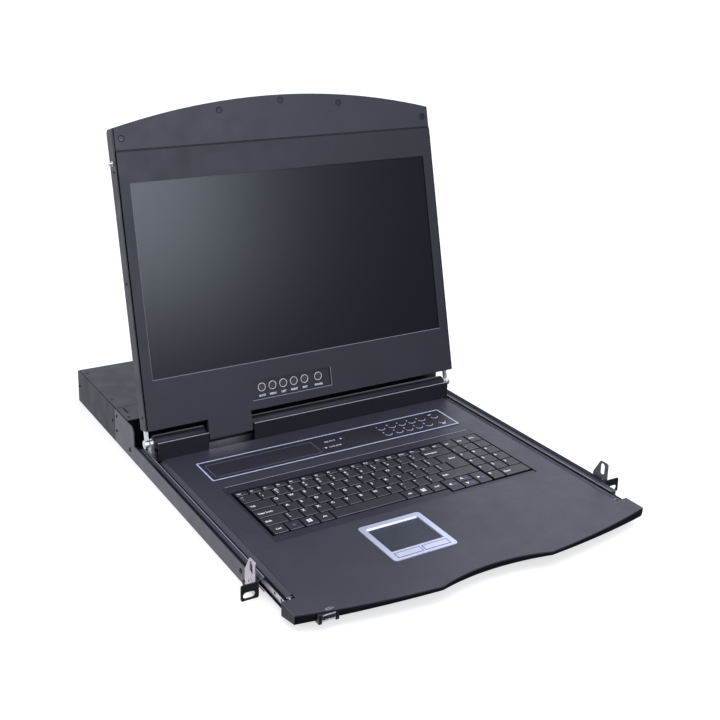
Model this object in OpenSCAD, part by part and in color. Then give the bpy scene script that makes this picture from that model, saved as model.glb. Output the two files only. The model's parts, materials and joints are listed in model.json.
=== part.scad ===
// Rack-mount keyboard, screen and switch console (one rack unit tall), drawer slightly out and screen up.
// Frame: X to the right, Y to the rear, Z up. Origin midway between the ear slots, on the ears' front face.

/* [Frame and ears] */
// Width over the two rack ears, mm
ear_span = 482.6; // [480:0.1:485]
// Distance between the two ear slot centres, mm
slot_pitch = 465.1; // [464:0.1:466]
// Ear slot length, mm
slot_length = 13; // [10:0.5:14]
// Ear slot width, mm
slot_width = 6.8; // [6:0.1:7.5]
// Width over the outer faces of the side rails, mm
body_width = 445.6; // [440:0.2:448]
// Height of the case, mm
body_height = 44; // [43:0.1:44.4]
// Height of the ear slots above the underside, mm
slot_height = 10; // [8:0.5:14]
// Height of the low front part of the side rails, mm
rail_height = 21; // [19:0.5:24]
// Distance from the ears to the step in the side rails, mm
step_y = 335.5; // [320:0.5:345]
// Distance from the ears to the seam between rail and switch case, mm
seam_y = 403; // [395:0.5:410]
// Distance from the ears to the rear panel, mm
rear_y = 550.5; // [540:0.5:600]
// Thickness of the rail and case sheet, mm
rail_sheet = 1.5; // [1:0.1:2]
// Thickness of the thinner sheet parts, mm
sheet = 1.2; // [0.8:0.1:1.6]

/* [Drawer] */
// Height of the deck above the underside, mm
deck_height = 19; // [18:0.1:20]
// Half width of the flat part of the deck, mm
deck_half = 202.5; // [198:0.5:206]
// Half width of the front lip, mm
lip_half = 217.4; // [212:0.2:220]
// Rear edge of the front lip, mm
lip_back_y = -36.5; // [-40:0.5:-30]
// Radius of the big arc of the lip front, mm
lip_arc_r = 903; // [800:1:1000]
// Foremost point of the lip, at the two horns, mm
lip_horn_y = -86; // [-90:0.5:-80]
// Half distance between the two horns, mm
lip_horn_x = 68; // [60:1:80]
// Lip front at the middle of the finger scallop, mm
lip_mid_y = -75.4; // [-80:0.2:-70]

/* [Keyboard] */
// Key pitch, mm
key_pitch = 18.31; // [18:0.01:19.1]
// Gap between neighbouring keycaps, mm
key_gap = 1.6; // [0.8:0.1:2]
// Left edge of the key field, mm
key_x0 = -166.8; // [-168:0.1:-165]
// Height of the keycap tops above the underside, mm
key_top = 19.6; // [19:0.1:20]
// Key travel, mm
key_travel = 1.9; // [1:0.1:2.2]

/* [Screen] */
// Lean of the screen behind the vertical, degrees
screen_tilt = 13.8; // [0:0.1:28]
// Bottom front edge of the screen, distance behind the ears, mm
screen_y = 296.2; // [290:0.1:300]
// Bottom front edge of the screen, height above the underside, mm
screen_z = 55.4; // [50:0.1:60]
// Half width of the front bezel, mm
bezel_half = 218.5; // [214:0.1:220]
// Half width of the back cover, mm
cover_half = 221; // [218:0.1:222]
// Thickness of the closed screen, mm
screen_depth = 19.5; // [16:0.1:21]
// Height of the bezel to the groove under the cap, mm
bezel_height = 328.3; // [325:0.1:332]
// Width of the visible picture, mm (18.5 inch, 16:9)
picture_w = 411.6; // [409:0.1:412]
// Height of the visible picture, mm
picture_h = 232.3; // [230:0.1:233]
// Height of the lower edge of the picture above the bezel's foot, mm
picture_z = 59; // [55:0.1:62]
// Height of the cap's arch at its middle, mm
cap_apex = 383.5; // [380:0.1:388]
// Height of the cap's arch at its ends, mm
cap_end = 356.3; // [350:0.1:360]

/* [Hinge and latch] */
// Hinge axis, distance behind the ears, mm
hinge_y = 306; // [300:0.1:310]
// Hinge axis, height above the underside, mm
hinge_z = 35; // [33:0.1:38]
// Hinge pin radius, mm
hinge_pin_r = 2.2; // [1.5:0.1:3]
// Radial clearance of the hinge pin, mm
hinge_clearance = 0.05; // [0.02:0.01:0.1]
// Radius of the hinge cover's barrel, mm
barrel_r = 8.7; // [7:0.1:9]
// Height of the latch pins up the screen, mm
latch_pin_h = 315.7; // [310:0.1:320]
// Latch pin radius, mm
latch_pin_r = 1.9; // [1.5:0.1:2.5]

/* [Hidden] */
$fn = 48;
z0 = -slot_height;
z_top = z0 + body_height;
z_deck = z0 + deck_height;
half = body_width / 2;
half_in = half - rail_sheet;
z_key = z0 + key_top;
lip_yc = lip_horn_y + sqrt(lip_arc_r * lip_arc_r - lip_horn_x * lip_horn_x);
sag = lip_mid_y - lip_horn_y;
scallop_r = (lip_horn_x * lip_horn_x + sag * sag) / (2 * sag);
cap_rise = cap_apex - cap_end;
cap_r = (bezel_half * bezel_half + cap_rise * cap_rise) / (2 * cap_rise);
gap = 0.3;
lid_gap = 0.8;
lever_x = half + 1.7;
lever_h = 7;
lever_pin_r = 1;
axis_d = (hinge_y - screen_y) * cos(screen_tilt) - (hinge_z - screen_z) * sin(screen_tilt);
axis_h = (hinge_y - screen_y) * sin(screen_tilt) + (hinge_z - screen_z) * cos(screen_tilt);
row_y = [for (i = [0:4]) 73.7 + key_pitch * (4 - i)];
pad_x = 114.6;
pad_y = [for (i = [0:5]) 67.5 + key_pitch * (5 - i)];
x_tab = key_x0 + 32;
x_caps = key_x0 + 36.6;
x_shift = key_x0 + 28.4;
x_num = key_x0 + 22.9;
x_space = key_x0 + 74.4;
space_w = 91.1;
web_z = z0 + 13.6;
port_x = [for (i = [0:3]) -160 + 34 * i];
osd_x = [-65.5, -50.6, -35.5, -20.5, -5.2, 14.5];
osd_h = 26;
osd_r = 4.4;
cap_screws_xh = [[-210.5, 343.3], [-83.5, 368.8], [0.5, 376.5], [83.5, 368.8], [210.5, 343.3]];

c_paint = [0.20, 0.21, 0.25];
c_dark = [0.07, 0.07, 0.09];
c_key = [0.12, 0.12, 0.14];
c_zinc = [0.72, 0.73, 0.74];
c_silver = [0.76, 0.77, 0.83];
c_board = [0.06, 0.25, 0.13];
c_glass = [0.13, 0.14, 0.16];

// ---- helpers ----

// Box between two corners.
module box(a, b) {
    translate(a) cube(b - a);
}

// Upright plate with rounded corners, between two corners.
module rounded_z(a, b, r) {
    for (x = [a[0] + r, b[0] - r], y = [a[1] + r, b[1] - r])
        translate([x, y, a[2]]) cylinder(r = r, h = b[2] - a[2]);
    box([a[0] + r, a[1], a[2]], [b[0] - r, b[1], b[2]]);
    box([a[0], a[1] + r, a[2]], [b[0], b[1] - r, b[2]]);
}

// Cylinder along Y from y0 to y1 at x, z.
module rod_y(x, z, r, y0, y1) {
    translate([x, y0, z]) rotate([-90, 0, 0]) cylinder(r = r, h = y1 - y0);
}

// Cylinder along X from x0 to x1 at y, z.
module rod_x(y, z, r, x0, x1) {
    translate([x0, y, z]) rotate([0, 90, 0]) cylinder(r = r, h = x1 - x0);
}

// The same shape on both sides of the middle plane.
module both_sides() {
    children();
    mirror([1, 0, 0]) children();
}

// Profile in the YZ plane, drawn along X from x0 to x1.
module profile_yz(points, x0, x1) {
    translate([x0, 0, 0]) rotate([90, 0, 90]) linear_extrude(x1 - x0) polygon(points);
}

// Profile in the XZ plane, drawn along Y from y0 to y1.
module profile_xz(points, y0, y1) {
    translate([0, y1, 0]) rotate([90, 0, 0]) linear_extrude(y1 - y0) polygon(points);
}

// Screen parts are drawn upright, front face on Y = 0 and foot on Z = 0, then leaned back here.
module on_screen() {
    translate([0, screen_y, z0 + screen_z]) rotate([-screen_tilt, 0, 0]) children();
}

// ---- outer frame ----

module rail_shape() {
    color(c_paint) {
        profile_yz([[1.5, z0 + 4.7], [14, z0 + 4.7], [19, z0], [step_y + 8, z0],
                    [step_y + 8, z0 + rail_height], [1.5, z0 + rail_height]], half_in, half);
        box([half_in, step_y, z0], [half, step_y + 8, z_top - 8]);
        box([half_in, step_y + 8, z0], [half, seam_y, z_top]);
        rod_x(step_y + 8, z_top - 8, 8, half_in, half);
        box([211, 40, z0], [half_in, seam_y, z0 + sheet]);
    }
}

module ear_shape() {
    x1 = ear_span / 2;
    xs = slot_pitch / 2;
    flat = (slot_length - slot_width) / 2;
    color(c_dark) {
        difference() {
            union() {
                box([half, 0, z0 + 4.7], [x1 - 2, 1.5, z0 + 21.5]);
                box([half, 0, z0 + 6.7], [x1, 1.5, z0 + 19.5]);
                for (z = [z0 + 6.7, z0 + 19.5]) rod_y(x1 - 2, z, 2, 0, 1.5);
            }
            for (s = [-1, 1]) rod_y(xs + s * flat, 0, slot_width / 2, -1, 3);
            box([xs - flat, -1, -slot_width / 2], [xs + flat, 3, slot_width / 2]);
        }
        box([half, 1.5, z0 + 4.7], [half + 1.2, 26, z0 + 20]);
        difference() {
            box([half, 24.3, z0 + 4.7], [half + 4, 27.5, z0 + 9.3]);
            rod_y(lever_x + sheet / 2, z0 + lever_h, lever_pin_r + hinge_clearance, 20, 30);
        }
    }
}

module left_side_rail() {
    mirror([1, 0, 0]) rail_shape();
}

module right_side_rail() {
    rail_shape();
}

module left_rack_ear() {
    mirror([1, 0, 0]) ear_shape();
}

module right_rack_ear() {
    ear_shape();
}

module switch_case() {
    color(c_paint) difference() {
        union() {
            box([-half, seam_y + gap, z0], [half, rear_y, z0 + sheet]);
            box([-210.9, step_y + 2, z0], [210.9, seam_y + gap, z0 + sheet]);
            both_sides() box([half_in, seam_y + gap, z0], [half, rear_y, z_top]);
            box([-half_in, rear_y - sheet, z0], [half_in, rear_y, z_top - sheet - 0.1]);
        }
        for (x = port_x, z = [z0 + 12, z0 + 31])
            box([x - 9.2, rear_y - 5, z - 5], [x + 9.2, rear_y + 5, z + 5]);
        box([-9.2, rear_y - 5, z0 + 26], [9.2, rear_y + 5, z0 + 36]);
        for (x = [34, 56])
            box([x - 7.4, rear_y - 5, z0 + 8.2], [x + 7.4, rear_y + 5, z0 + 15.8]);
        box([147, rear_y - 5, z0 + 11], [179, rear_y + 5, z0 + 33]);
        box([113.8, rear_y - 5, z0 + 15.8], [134.2, rear_y + 5, z0 + 28.2]);
        for (i = [0:9])
            box([-208, rear_y - 5, z0 + 9 + 2.8 * i], [-186, rear_y + 5, z0 + 10.2 + 2.8 * i]);
    }
}

module switch_lid() {
    color(c_paint) difference() {
        box([-half_in + lid_gap, seam_y + 1.6, z_top - sheet], [half_in - lid_gap, rear_y, z_top]);
        for (x = [-214.8, 0, 214.8], y = [432.5, 534.5])
            translate([x, y, z_top - 3]) cylinder(r = 3, h = 6);
    }
}

module front_crossplate() {
    color(c_paint) difference() {
        union() {
            box([-half_in + lid_gap, 362, z_top - sheet], [half_in - lid_gap, seam_y + 1.2, z_top]);
            box([-half_in + lid_gap, seam_y, z0 + sheet], [half_in - lid_gap, seam_y + 1.2, z_top - sheet]);
        }
        both_sides() {
            box([211, 383, z_top - 3], [212.6, 401, z_top + 3]);
            translate([215.3, 371.5, z_top - 3]) cylinder(r = 1.7, h = 6);
        }
    }
}

module bottom_crossbar() {
    color(c_paint) {
        box([-211, 12, z0], [211, 52, z0 + sheet]);
    }
}

module outer_slides() {
    color(c_zinc) both_sides() {
        profile_yz([[4, z0 + 4.7], [15, z0 + 4.7], [20, z0 + 1.4], [330, z0 + 1.4],
                    [330, z0 + 20.6], [4, z0 + 20.6]], half_in - 1.1, half_in);
        box([half_in - 2.7, 20, z0 + 1.4], [half_in - 1.1, 330, z0 + 2.4]);
        box([half_in - 2.7, 4, z0 + 19.6], [half_in - 1.1, 330, z0 + 20.6]);
    }
}

module frame_screws() {
    color(c_dark) {
        both_sides() {
            for (p = [[39.5, 11.6, 3], [350.8, 10.3, 3.2], [395.5, 37.3, 2], [411.5, 25.6, 1.8],
                      [396.6, 16.9, 2], [545, 23.2, 2]])
                rod_x(p[0], z0 + p[1], p[2], half, half + 0.9);
        }
        for (x = [-214.8, 0, 214.8], y = [432.5, 534.5])
            translate([x, y, z_top - sheet]) cylinder(r = 2.8, h = sheet - 0.1);
    }
}

// ---- rear panel ----

// Fifteen-pin video socket on the rear face, with its two hexagon posts.
module video_socket(x, z) {
    y = rear_y;
    translate([x, 0, z]) {
        box([-15.4, y, -6.25], [15.4, y + 0.8, 6.25]);
        profile_xz([[-8.3, 4], [8.3, 4], [6.9, -4], [-6.9, -4]], y - 6, y + 6);
        for (s = [-12.5, 12.5])
            translate([s, y, 0]) rotate([-90, 0, 0]) cylinder(r = 2.7, h = 4.8, $fn = 6);
    }
}

// Flat four-contact data socket: a thin metal sleeve with a tongue, mouth towards +Y.
module data_socket(x, z, y0, y1) {
    difference() {
        box([x - 7.2, y0, z - 3.6], [x + 7.2, y1, z + 3.6]);
        box([x - 6.6, y0 + 1, z - 2.9], [x + 6.6, y1 + 1, z + 2.9]);
    }
    box([x - 5.6, y0 + 0.5, z + 1.4], [x + 5.6, y1 - 1.5, z + 2.9]);
}

module computer_ports() {
    color(c_zinc) for (x = port_x, z = [z0 + 12, z0 + 31]) video_socket(x, z);
}

module console_ports() {
    color(c_zinc) {
        video_socket(0, z0 + 31);
        for (x = [34, 56]) data_socket(x, z0 + 12, rear_y - 13, rear_y + 0.8);
    }
}

module power_inlet() {
    zc = z0 + 22;
    color(c_dark) {
        difference() {
            union() {
                rounded_plate_y([136.5, zc - 13.5], [189.5, zc + 13.5], 3, rear_y, rear_y + 2.4);
                box([147.3, rear_y - 16, zc - 10.7], [178.7, rear_y, zc + 10.7]);
            }
            box([150.8, rear_y - 13, zc - 8.3], [175.2, rear_y + 5, zc + 8.3]);
            for (s = [-1, 1]) rod_y(163 + s * 20, zc, 1.8, rear_y - 5, rear_y + 5);
        }
        for (p = [[163, 3], [156, -2], [170, -2]])
            box([p[0] - 1, rear_y - 13.5, zc + p[1] - 2], [p[0] + 1, rear_y - 3, zc + p[1] + 2]);
        difference() {
            box([112, rear_y, zc - 8], [136.2, rear_y + 1.6, zc + 8]);
            box([115, rear_y - 5, zc - 5.2], [133, rear_y + 5, zc + 5.2]);
        }
        difference() {
            box([114, rear_y - 14, zc - 6], [134, rear_y, zc + 6]);
            box([115, rear_y - 12.5, zc - 5.2], [133, rear_y + 5, zc + 5.2]);
        }
    }
}

// Plate in the XZ plane with rounded corners.
module rounded_plate_y(a, b, r, y0, y1) {
    for (x = [a[0] + r, b[0] - r], z = [a[1] + r, b[1] - r]) rod_y(x, z, r, y0, y1);
    box([a[0] + r, y0, a[1]], [b[0] - r, y1, b[1]]);
    box([a[0], y0, a[1] + r], [b[0], y1, b[1] - r]);
}

module power_rocker() {
    zc = z0 + 22;
    color(c_key) translate([124, rear_y - 3, zc]) rotate([0, 0, -8]) {
        box([-8.4, -2, -4.8], [8.4, 2.6, 4.8]);
        translate([0, 0, -4.8]) cylinder(r = 3.4, h = 9.6);
    }
}

module switch_board() {
    color(c_board) {
        box([-214, 425, z0 + 4], [92, 540, z0 + 5.6]);
        for (x = [-190, 60], y = [435, 530]) translate([x, y, z0 + sheet]) cylinder(r = 3, h = 3);
        for (p = [[-150, 470, 22], [-95, 470, 22], [-30, 465, 28], [30, 470, 16]])
            box([p[0], p[1], z0 + 5.6], [p[0] + p[2], p[1] + p[2], z0 + 8]);
        for (i = [0:7]) box([-140 + 24 * i, 508, z0 + 5.6], [-130 + 24 * i, 518, z0 + 8]);
    }
}

module power_supply() {
    color(c_board) {
        box([112, 412, z0 + 4], [206, 528, z0 + 5.6]);
        for (x = [118, 200], y = [418, 522]) translate([x, y, z0 + sheet]) cylinder(r = 3, h = 3);
        box([145, 440, z0 + 5.6], [178, 468, z0 + 32]);
        box([184, 420, z0 + 5.6], [187, 500, z0 + 34]);
        for (y = [486, 508]) translate([150, y, z0 + 5.6]) cylinder(r = 9, h = 26);
        box([120, 480, z0 + 5.6], [134, 500, z0 + 22]);
    }
}

// ---- release levers ----

module lever_shape() {
    x0 = lever_x;
    ys = 10;
    zs = z0 + 31.9;
    color(c_zinc) rod_y(lever_x + sheet / 2, z0 + lever_h, lever_pin_r, 24, 27.4);
    color(c_zinc) difference() {
        profile_yz([[1.8, z0 + 5.6], [24, z0 + 5.6], [24, z0 + 23.5], [14.3, z0 + 40.3],
                    [12.6, z0 + 41.2], [3.2, z0 + 41.2], [1.8, z0 + 39.8]], x0, x0 + sheet);
        for (s = [-1, 1]) rod_x(ys, zs + s * 3.45, 3.2, x0 - 1, x0 + 3);
        box([x0 - 1, ys - 3.2, zs - 3.45], [x0 + 3, ys + 3.2, zs + 3.45]);
        for (p = [[15.3, 15], [8.3, 19]]) rod_x(p[0], z0 + p[1], 1.2, x0 - 1, x0 + 3);
    }
}

module left_lever() {
    mirror([1, 0, 0]) lever_shape();
}

module right_lever() {
    lever_shape();
}

// ---- telescopic slides ----

module mid_slide_shape(y0) {
    x1 = half_in - 1.4;
    color(c_zinc) {
        profile_yz([[y0, z0 + 5.4], [y0 + 8, z0 + 5.4], [y0 + 12, z0 + 2.8], [y0 + 320, z0 + 2.8],
                    [y0 + 320, z0 + 19.2], [y0, z0 + 19.2]], x1 - 1.1, x1);
        box([212.4, y0 + 12, z0 + 2.8], [x1 - 1.1, y0 + 320, z0 + 3.9]);
        box([212.4, y0, z0 + 18.1], [x1 - 1.1, y0 + 320, z0 + 19.2]);
    }
}

module left_mid_slide() {
    mirror([1, 0, 0]) mid_slide_shape(8);
}

module right_mid_slide() {
    mid_slide_shape(-18);
}

module inner_slides() {
    color(c_zinc) both_sides() difference() {
        union() {
            box([209.4, -35, z0 + 5.2], [210.5, 300, z0 + 17.6]);
            for (z = [5.2, 16.6]) box([210.5, -35, z0 + z], [213.2, 300, z0 + z + 1]);
        }
        for (y = [-24, -10.3]) rod_x(y, z0 + 11.4, 1.7, 205, 215);
    }
}

// ---- drawer ----

module drawer_pan() {
    color(c_paint) {
        box([-209.4, lip_back_y, z0 + 2.2], [209.4, 316, z0 + 3.4]);
        both_sides() {
            box([208.2, lip_back_y, z0 + 3.4], [209.4, 316, z0 + 12.9]);
            box([202, -31, z0 + 3.4], [208.9, -29.8, z0 + 17]);
        }
        box([-208.2, 314.8, z0 + 3.4], [208.2, 316, z0 + 16]);
    }
}

// Plan of the front lip, from z_low to z_high.
module lip_block(z_low, z_high) {
    h = z_high - z_low;
    difference() {
        intersection() {
            box([-lip_half, -120, z_low], [lip_half, lip_back_y, z_high]);
            translate([0, lip_yc, z_low - 1]) cylinder(r = lip_arc_r, h = h + 2, $fn = 360);
        }
        translate([0, lip_mid_y - scallop_r, z_low - 1]) cylinder(r = scallop_r, h = h + 2, $fn = 180);
    }
}

module drawer_deck() {
    z1 = z_deck;
    z2 = z_deck - 1.5;
    color(c_paint) difference() {
        union() {
            lip_block(z2, z1);
            box([-deck_half, lip_back_y - 1, z2], [deck_half, 289.6, z1]);
            both_sides()
                profile_xz([[deck_half - 1, z1], [deck_half, z1], [208.9, z1 - 4.5], [208.9, z1 - 6],
                            [deck_half, z2], [deck_half - 1, z2]], -29.5, 289.6);
        }
        box([-173, 60, z2 - 1], [171, 192, z1 + 1]);
        box([-80.5, -26.5, z2 - 1], [-13, 39.5, z1 + 1]);
    }
}

module front_lip() {
    z1 = z_deck - 1.5;
    slope = atan2(10.7, 49.5);
    color(c_paint) difference() {
        lip_block(z0 + 3.8, z1);
        translate([0, lip_back_y, z0 + 3.8]) rotate([-slope, 0, 0])
            box([-230, -80, -20], [230, 10, 0]);
        box([-196.9, -90, z0], [-174.5, -49.5, z0 + 18]);
        difference() {
            box([209.9, -90, z0], [218, -30, z0 + 15.1]);
            rod_y(209.9, z0 + 15.1, 7.5, -95, -25);
        }
    }
}

module hinge_cover() {
    color(c_paint) {
        for (s = [[-209.2, -143.6], [-82.4, 209.2]]) {
            box([s[0], 289.9, z0 + 17.5], [s[1], 291.1, z0 + 40.7]);
            box([s[0], 291.1, z0 + 32.6], [s[1], 298.5, z0 + 33.8]);
            box([s[0], hinge_y + barrel_r - sheet, z0 + 16], [s[1], hinge_y + barrel_r, z0 + hinge_z]);
            difference() {
                rod_x(hinge_y, z0 + hinge_z, barrel_r, s[0], s[1]);
                rod_x(hinge_y, z0 + hinge_z, barrel_r - sheet, s[0] + 1.5, s[1] - 1.5);
            }
        }
        box([-143.6, hinge_y + barrel_r - sheet, z0 + 16], [-82.4, hinge_y + barrel_r, z0 + 19.4]);
    }
}

// One hinge bracket: knuckle, cheek and foot, screwed down inside the drawer pan.
module hinge_base_shape() {
    difference() {
        union() {
            rod_x(hinge_y, z0 + hinge_z, 5.4, 209.6, 214.4);
            box([209.6, hinge_y - 5.4, z0 + 19.7], [214.4, hinge_y + 5.4, z0 + hinge_z]);
            box([192, 300.6, z0 + 3.4], [205.4, 311.4, z0 + 5.4]);
            box([205.4, 300.6, z0 + 3.4], [208.1, 311.4, z0 + 25.5]);
            box([208.1, 300.6, z0 + 19.7], [209.6, 311.4, z0 + 25.5]);
        }
        rod_x(hinge_y, z0 + hinge_z, hinge_pin_r + hinge_clearance, 205, 218);
    }
}

module hinge_bases() {
    color(c_zinc) both_sides() hinge_base_shape();
}

module selector_panel() {
    color(c_dark) {
        rounded_z([-175, 210.6, z_deck], [171, 259.8, z_deck + 0.8], 2);
        for (i = [0:5], r = [0, 1])
            translate([[72.5, 88.5, 103.7, 118.6, 133.9, 153.8][i], [243.8, 226.8][r], z_deck + 0.8])
                cylinder(r = 5, h = 0.35);
    }
}

module selector_board() {
    color(c_board) {
        box([-160, 216, z0 + 11], [160, 254, z0 + 12.6]);
        for (x = [-150, 0, 150], y = [220, 250])
            translate([x, y, z0 + 12.6]) cylinder(r = 2.5, h = 4.9);
    }
}

module keyboard_tray() {
    color(c_dark) difference() {
        union() {
            box([-172.7, 60.3, z0 + 9], [170.7, 191.7, web_z]);
            box([-172.7, 178, web_z], [170.7, 191.7, z0 + 18.9]);
            box([-172.7, 60.3, web_z], [-168.4, 178, z0 + 16.4]);
            box([-168.4, 60.3, web_z], [170.7, 65, z0 + 16.4]);
        }
        for (p = stem_xy) translate([p[0], p[1], z0 + 9.8]) cylinder(r = 2.3, h = 10);
    }
}

// Keycap block between two corners in plan, with a narrower top.
module cap_block(x, y, w, d, z_low) {
    g = key_gap / 2;
    box([x + g, y + g, z_low], [x + w - g, y + d - g, z_key - 1]);
    box([x + g + 0.4, y + g + 0.4, z_key - 1], [x + w - g - 0.4, y + d - g - 0.4, z_key]);
}

// A run of equal keys to the right from x.
module key_run(x, y, n, w, d) {
    for (i = [0:n - 1]) cap_block(x + i * w, y, w, d, web_z + 0.8);
}

module keycaps() {
    p = key_pitch;
    color(c_key) difference() {
        union() {
            box([-168.2, 66.1, web_z], [169.8, 177.5, web_z + 0.8]);
            key_run(key_x0, row_y[0] + p, 17, 16.52, 9.4);
            key_run(key_x0, row_y[0], 1, 22.9, p);
            key_run(x_num, row_y[0], 12, p, p);
            key_run(x_tab, row_y[1], 12, p, p);
            key_run(key_x0, row_y[2], 1, 36.6, p);
            key_run(x_caps, row_y[2], 12, p, p);
            key_run(x_shift, row_y[3], 11, p, p);
            key_run(key_x0, row_y[4], 4, 18.6, p);
            key_run(x_space + space_w, row_y[4], 3, 18.35, p);
            cap_block(54.5, 66.4, 19, 25.6, web_z + 0.8);
            cap_block(94.2, 66.4, 19, 25.6, web_z + 0.8);
            for (r = [0:4]) key_run(pad_x, pad_y[r], 3, p, p);
            key_run(pad_x, pad_y[5], 1, p, p);
            key_run(pad_x + p, pad_y[5], 1, 2 * p, p);
        }
        for (q = stem_xy) translate([q[0], q[1], web_z - 1]) cylinder(r = 2.3, h = 3);
    }
}

// Moving keys: [left, front, width, depth] of each, and the places of their stems.
key_space_at = [x_space, row_y[4], space_w, key_pitch];
key_backspace_at = [x_num + 12 * key_pitch, row_y[0], 38.2, key_pitch];
key_left_shift_at = [key_x0, row_y[3], 28.4, key_pitch];
key_right_shift_at = [x_shift + 11 * key_pitch, row_y[3], 50.3, key_pitch];
key_tab_at = [key_x0, row_y[1], 32, key_pitch];
key_up_at = [73.5, 79.6, 20.7, 12.4];
key_down_at = [73.5, 66.4, 20.7, 13.2];
enter_x = x_tab + 12 * key_pitch;
enter_low_x = x_caps + 12 * key_pitch;
enter_end = 114.1;
stem_xy = concat(
    [for (k = [key_space_at, key_backspace_at, key_left_shift_at, key_right_shift_at, key_tab_at,
               key_up_at, key_down_at]) [k[0] + k[2] / 2, k[1] + k[3] / 2]],
    [[(enter_low_x + enter_end) / 2, row_y[1]]]);

// A key that travels: cap and guide stem.
module moving_key(k) {
    color(c_key) {
        cap_block(k[0], k[1], k[2], k[3], web_z + 0.9 + key_travel);
        translate([k[0] + k[2] / 2, k[1] + k[3] / 2, z0 + 12]) cylinder(r = 2, h = 5);
    }
}

module key_space() {
    moving_key(key_space_at);
}

module key_enter() {
    z = web_z + 0.9 + key_travel;
    color(c_key) {
        cap_block(enter_x, row_y[1], enter_end - enter_x, key_pitch, z);
        cap_block(enter_low_x, row_y[2], enter_end - enter_low_x, 2 * key_pitch, z);
        translate([(enter_low_x + enter_end) / 2, row_y[1], z0 + 12]) cylinder(r = 2, h = 5);
    }
}

module key_backspace() {
    moving_key(key_backspace_at);
}

module key_left_shift() {
    moving_key(key_left_shift_at);
}

module key_right_shift() {
    moving_key(key_right_shift_at);
}

module key_tab() {
    moving_key(key_tab_at);
}

module key_up() {
    moving_key(key_up_at);
}

module key_down() {
    moving_key(key_down_at);
}

// ---- touchpad ----

module touchpad_bezel() {
    color(c_silver) difference() {
        union() {
            rounded_z([-85.6, -29, z_deck], [-7.8, 44, z_deck + 1.1], 4);
            box([-80.2, -26.2, z_deck - 5], [-13.3, 39.2, z_deck]);
        }
        rounded_z([-79, -12.5, z_deck - 3], [-14.4, 37.8, z_deck + 3], 1);
        for (x = [-79, -45.6]) box([x, -25.2, z_deck - 3.4], [x + 31.2, -15.8, z_deck + 3]);
    }
}

module touchpad_pad() {
    color(c_key) {
        box([-78.7, -12.2, z_deck - 3], [-14.7, 37.5, z_deck - 0.9]);
    }
}

module touch_left_button() {
    color(c_silver) {
        box([-78.4, -24.6, z_deck - 2], [-48.4, -16.4, z_deck + 1.3]);
    }
}

module touch_right_button() {
    color(c_silver) {
        box([-45, -24.6, z_deck - 2], [-15, -16.4, z_deck + 1.3]);
    }
}

// ---- front data port ----

module usb_socket() {
    color(c_zinc) translate([-185.7, -70.2, z0 + 13.3]) rotate([0, 0, 180])
        data_socket(0, 0, -14, 0);
}

module usb_housing() {
    color(c_dark) difference() {
        box([-196.6, -71, z0 + 7.9], [-174.8, -50, z0 + 17.3]);
        box([-193.1, -80, z0 + 9.5], [-178.3, -56, z0 + 17.1]);
        box([-193.1, -80, z0 + 7], [-178.3, -66, z0 + 10.9]);
    }
}

module deck_screws() {
    color(c_zinc) both_sides() {
        rod_y(205.4, z0 + 14.2, 1.7, -32, -31);
        translate([205, 296, z0 + 3.4]) cylinder(r = 2.4, h = 1.4);
    }
}

// ---- screen ----

module lcd_back_cover() {
    w = cover_half;
    color(c_paint) on_screen() difference() {
        box([-w, 1.2, 0], [w, screen_depth, bezel_height]);
        box([-w + sheet, 0, sheet], [w - sheet, screen_depth - sheet, bezel_height + 1]);
        both_sides() box([214, 11, -1], [219.6, 17, 5]);
        box([-142.6, 0, -1], [-84, 8, 5]);
    }
}

module lcd_bezel() {
    w = bezel_half;
    pw = picture_w / 2;
    color(c_paint) on_screen() {
        difference() {
            union() {
                box([-w, 0, 0], [w, 1.1, bezel_height]);
                both_sides() box([w - 1.1, 1.1, 1.5], [w, 7, bezel_height]);
                box([-w, 1.1, bezel_height - 1.1], [w, 7, bezel_height]);
            }
            box([-pw, -1, picture_z], [pw, 3, picture_z + picture_h]);
            box([-79.9, -1, 11.8], [31.8, 3, 34.9]);
        }
        box([-142.2, 0, -24.2], [-84.4, 1.1, 0]);
        for (x = [-142.2, -85.6]) box([x, 1.1, -24.2], [x + 1.2, 6, -0.2]);
        box([-141, 4.8, -24.2], [-85.6, 6, -0.2]);
    }
}

// The arched cap across the top, hollow behind its front wall, with a tongue down inside the back cover.
module lcd_cap() {
    zf = bezel_height + 1.5;
    zr = bezel_height + 0.2;
    zs = cap_end - 7;
    yr = screen_depth - 7;
    color(c_paint) on_screen() {
        difference() {
            intersection() {
                union() {
                    box([-bezel_half, 0, zf], [bezel_half, 8, 400]);
                    box([-cover_half, 2.5, zr], [cover_half, yr, 400]);
                    box([-cover_half, yr, zr], [cover_half, screen_depth, zs]);
                    rod_x(yr, zs, 7, -cover_half, cover_half);
                    box([-cover_half + 7, yr, zr], [cover_half - 7, screen_depth, 400]);
                }
                translate([0, -1, cap_apex - cap_r]) rotate([-90, 0, 0])
                    cylinder(r = cap_r, h = screen_depth + 8, $fn = 360);
            }
            intersection() {
                box([-cover_half + 4, 4, zr - 1], [cover_half - 4, screen_depth - 2, 400]);
                translate([0, -1, cap_apex - cap_r]) rotate([-90, 0, 0])
                    cylinder(r = cap_r - 6, h = screen_depth + 8, $fn = 360);
            }
            for (p = cap_screws_xh) rod_y(p[0], p[1], 3.1, -1, 1.2);
        }
        box([-200, 16.2, bezel_height - 12], [200, 18, bezel_height + 6]);
    }
}

module cap_screws() {
    color(c_dark) on_screen() for (p = cap_screws_xh) difference() {
        rod_y(p[0], p[1], 3, 0.25, 1.2);
        for (a = [0, 90])
            translate([p[0], 0, p[1]]) rotate([0, a, 0]) box([-1.7, 0, -0.3], [1.7, 0.8, 0.3]);
    }
}

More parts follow.
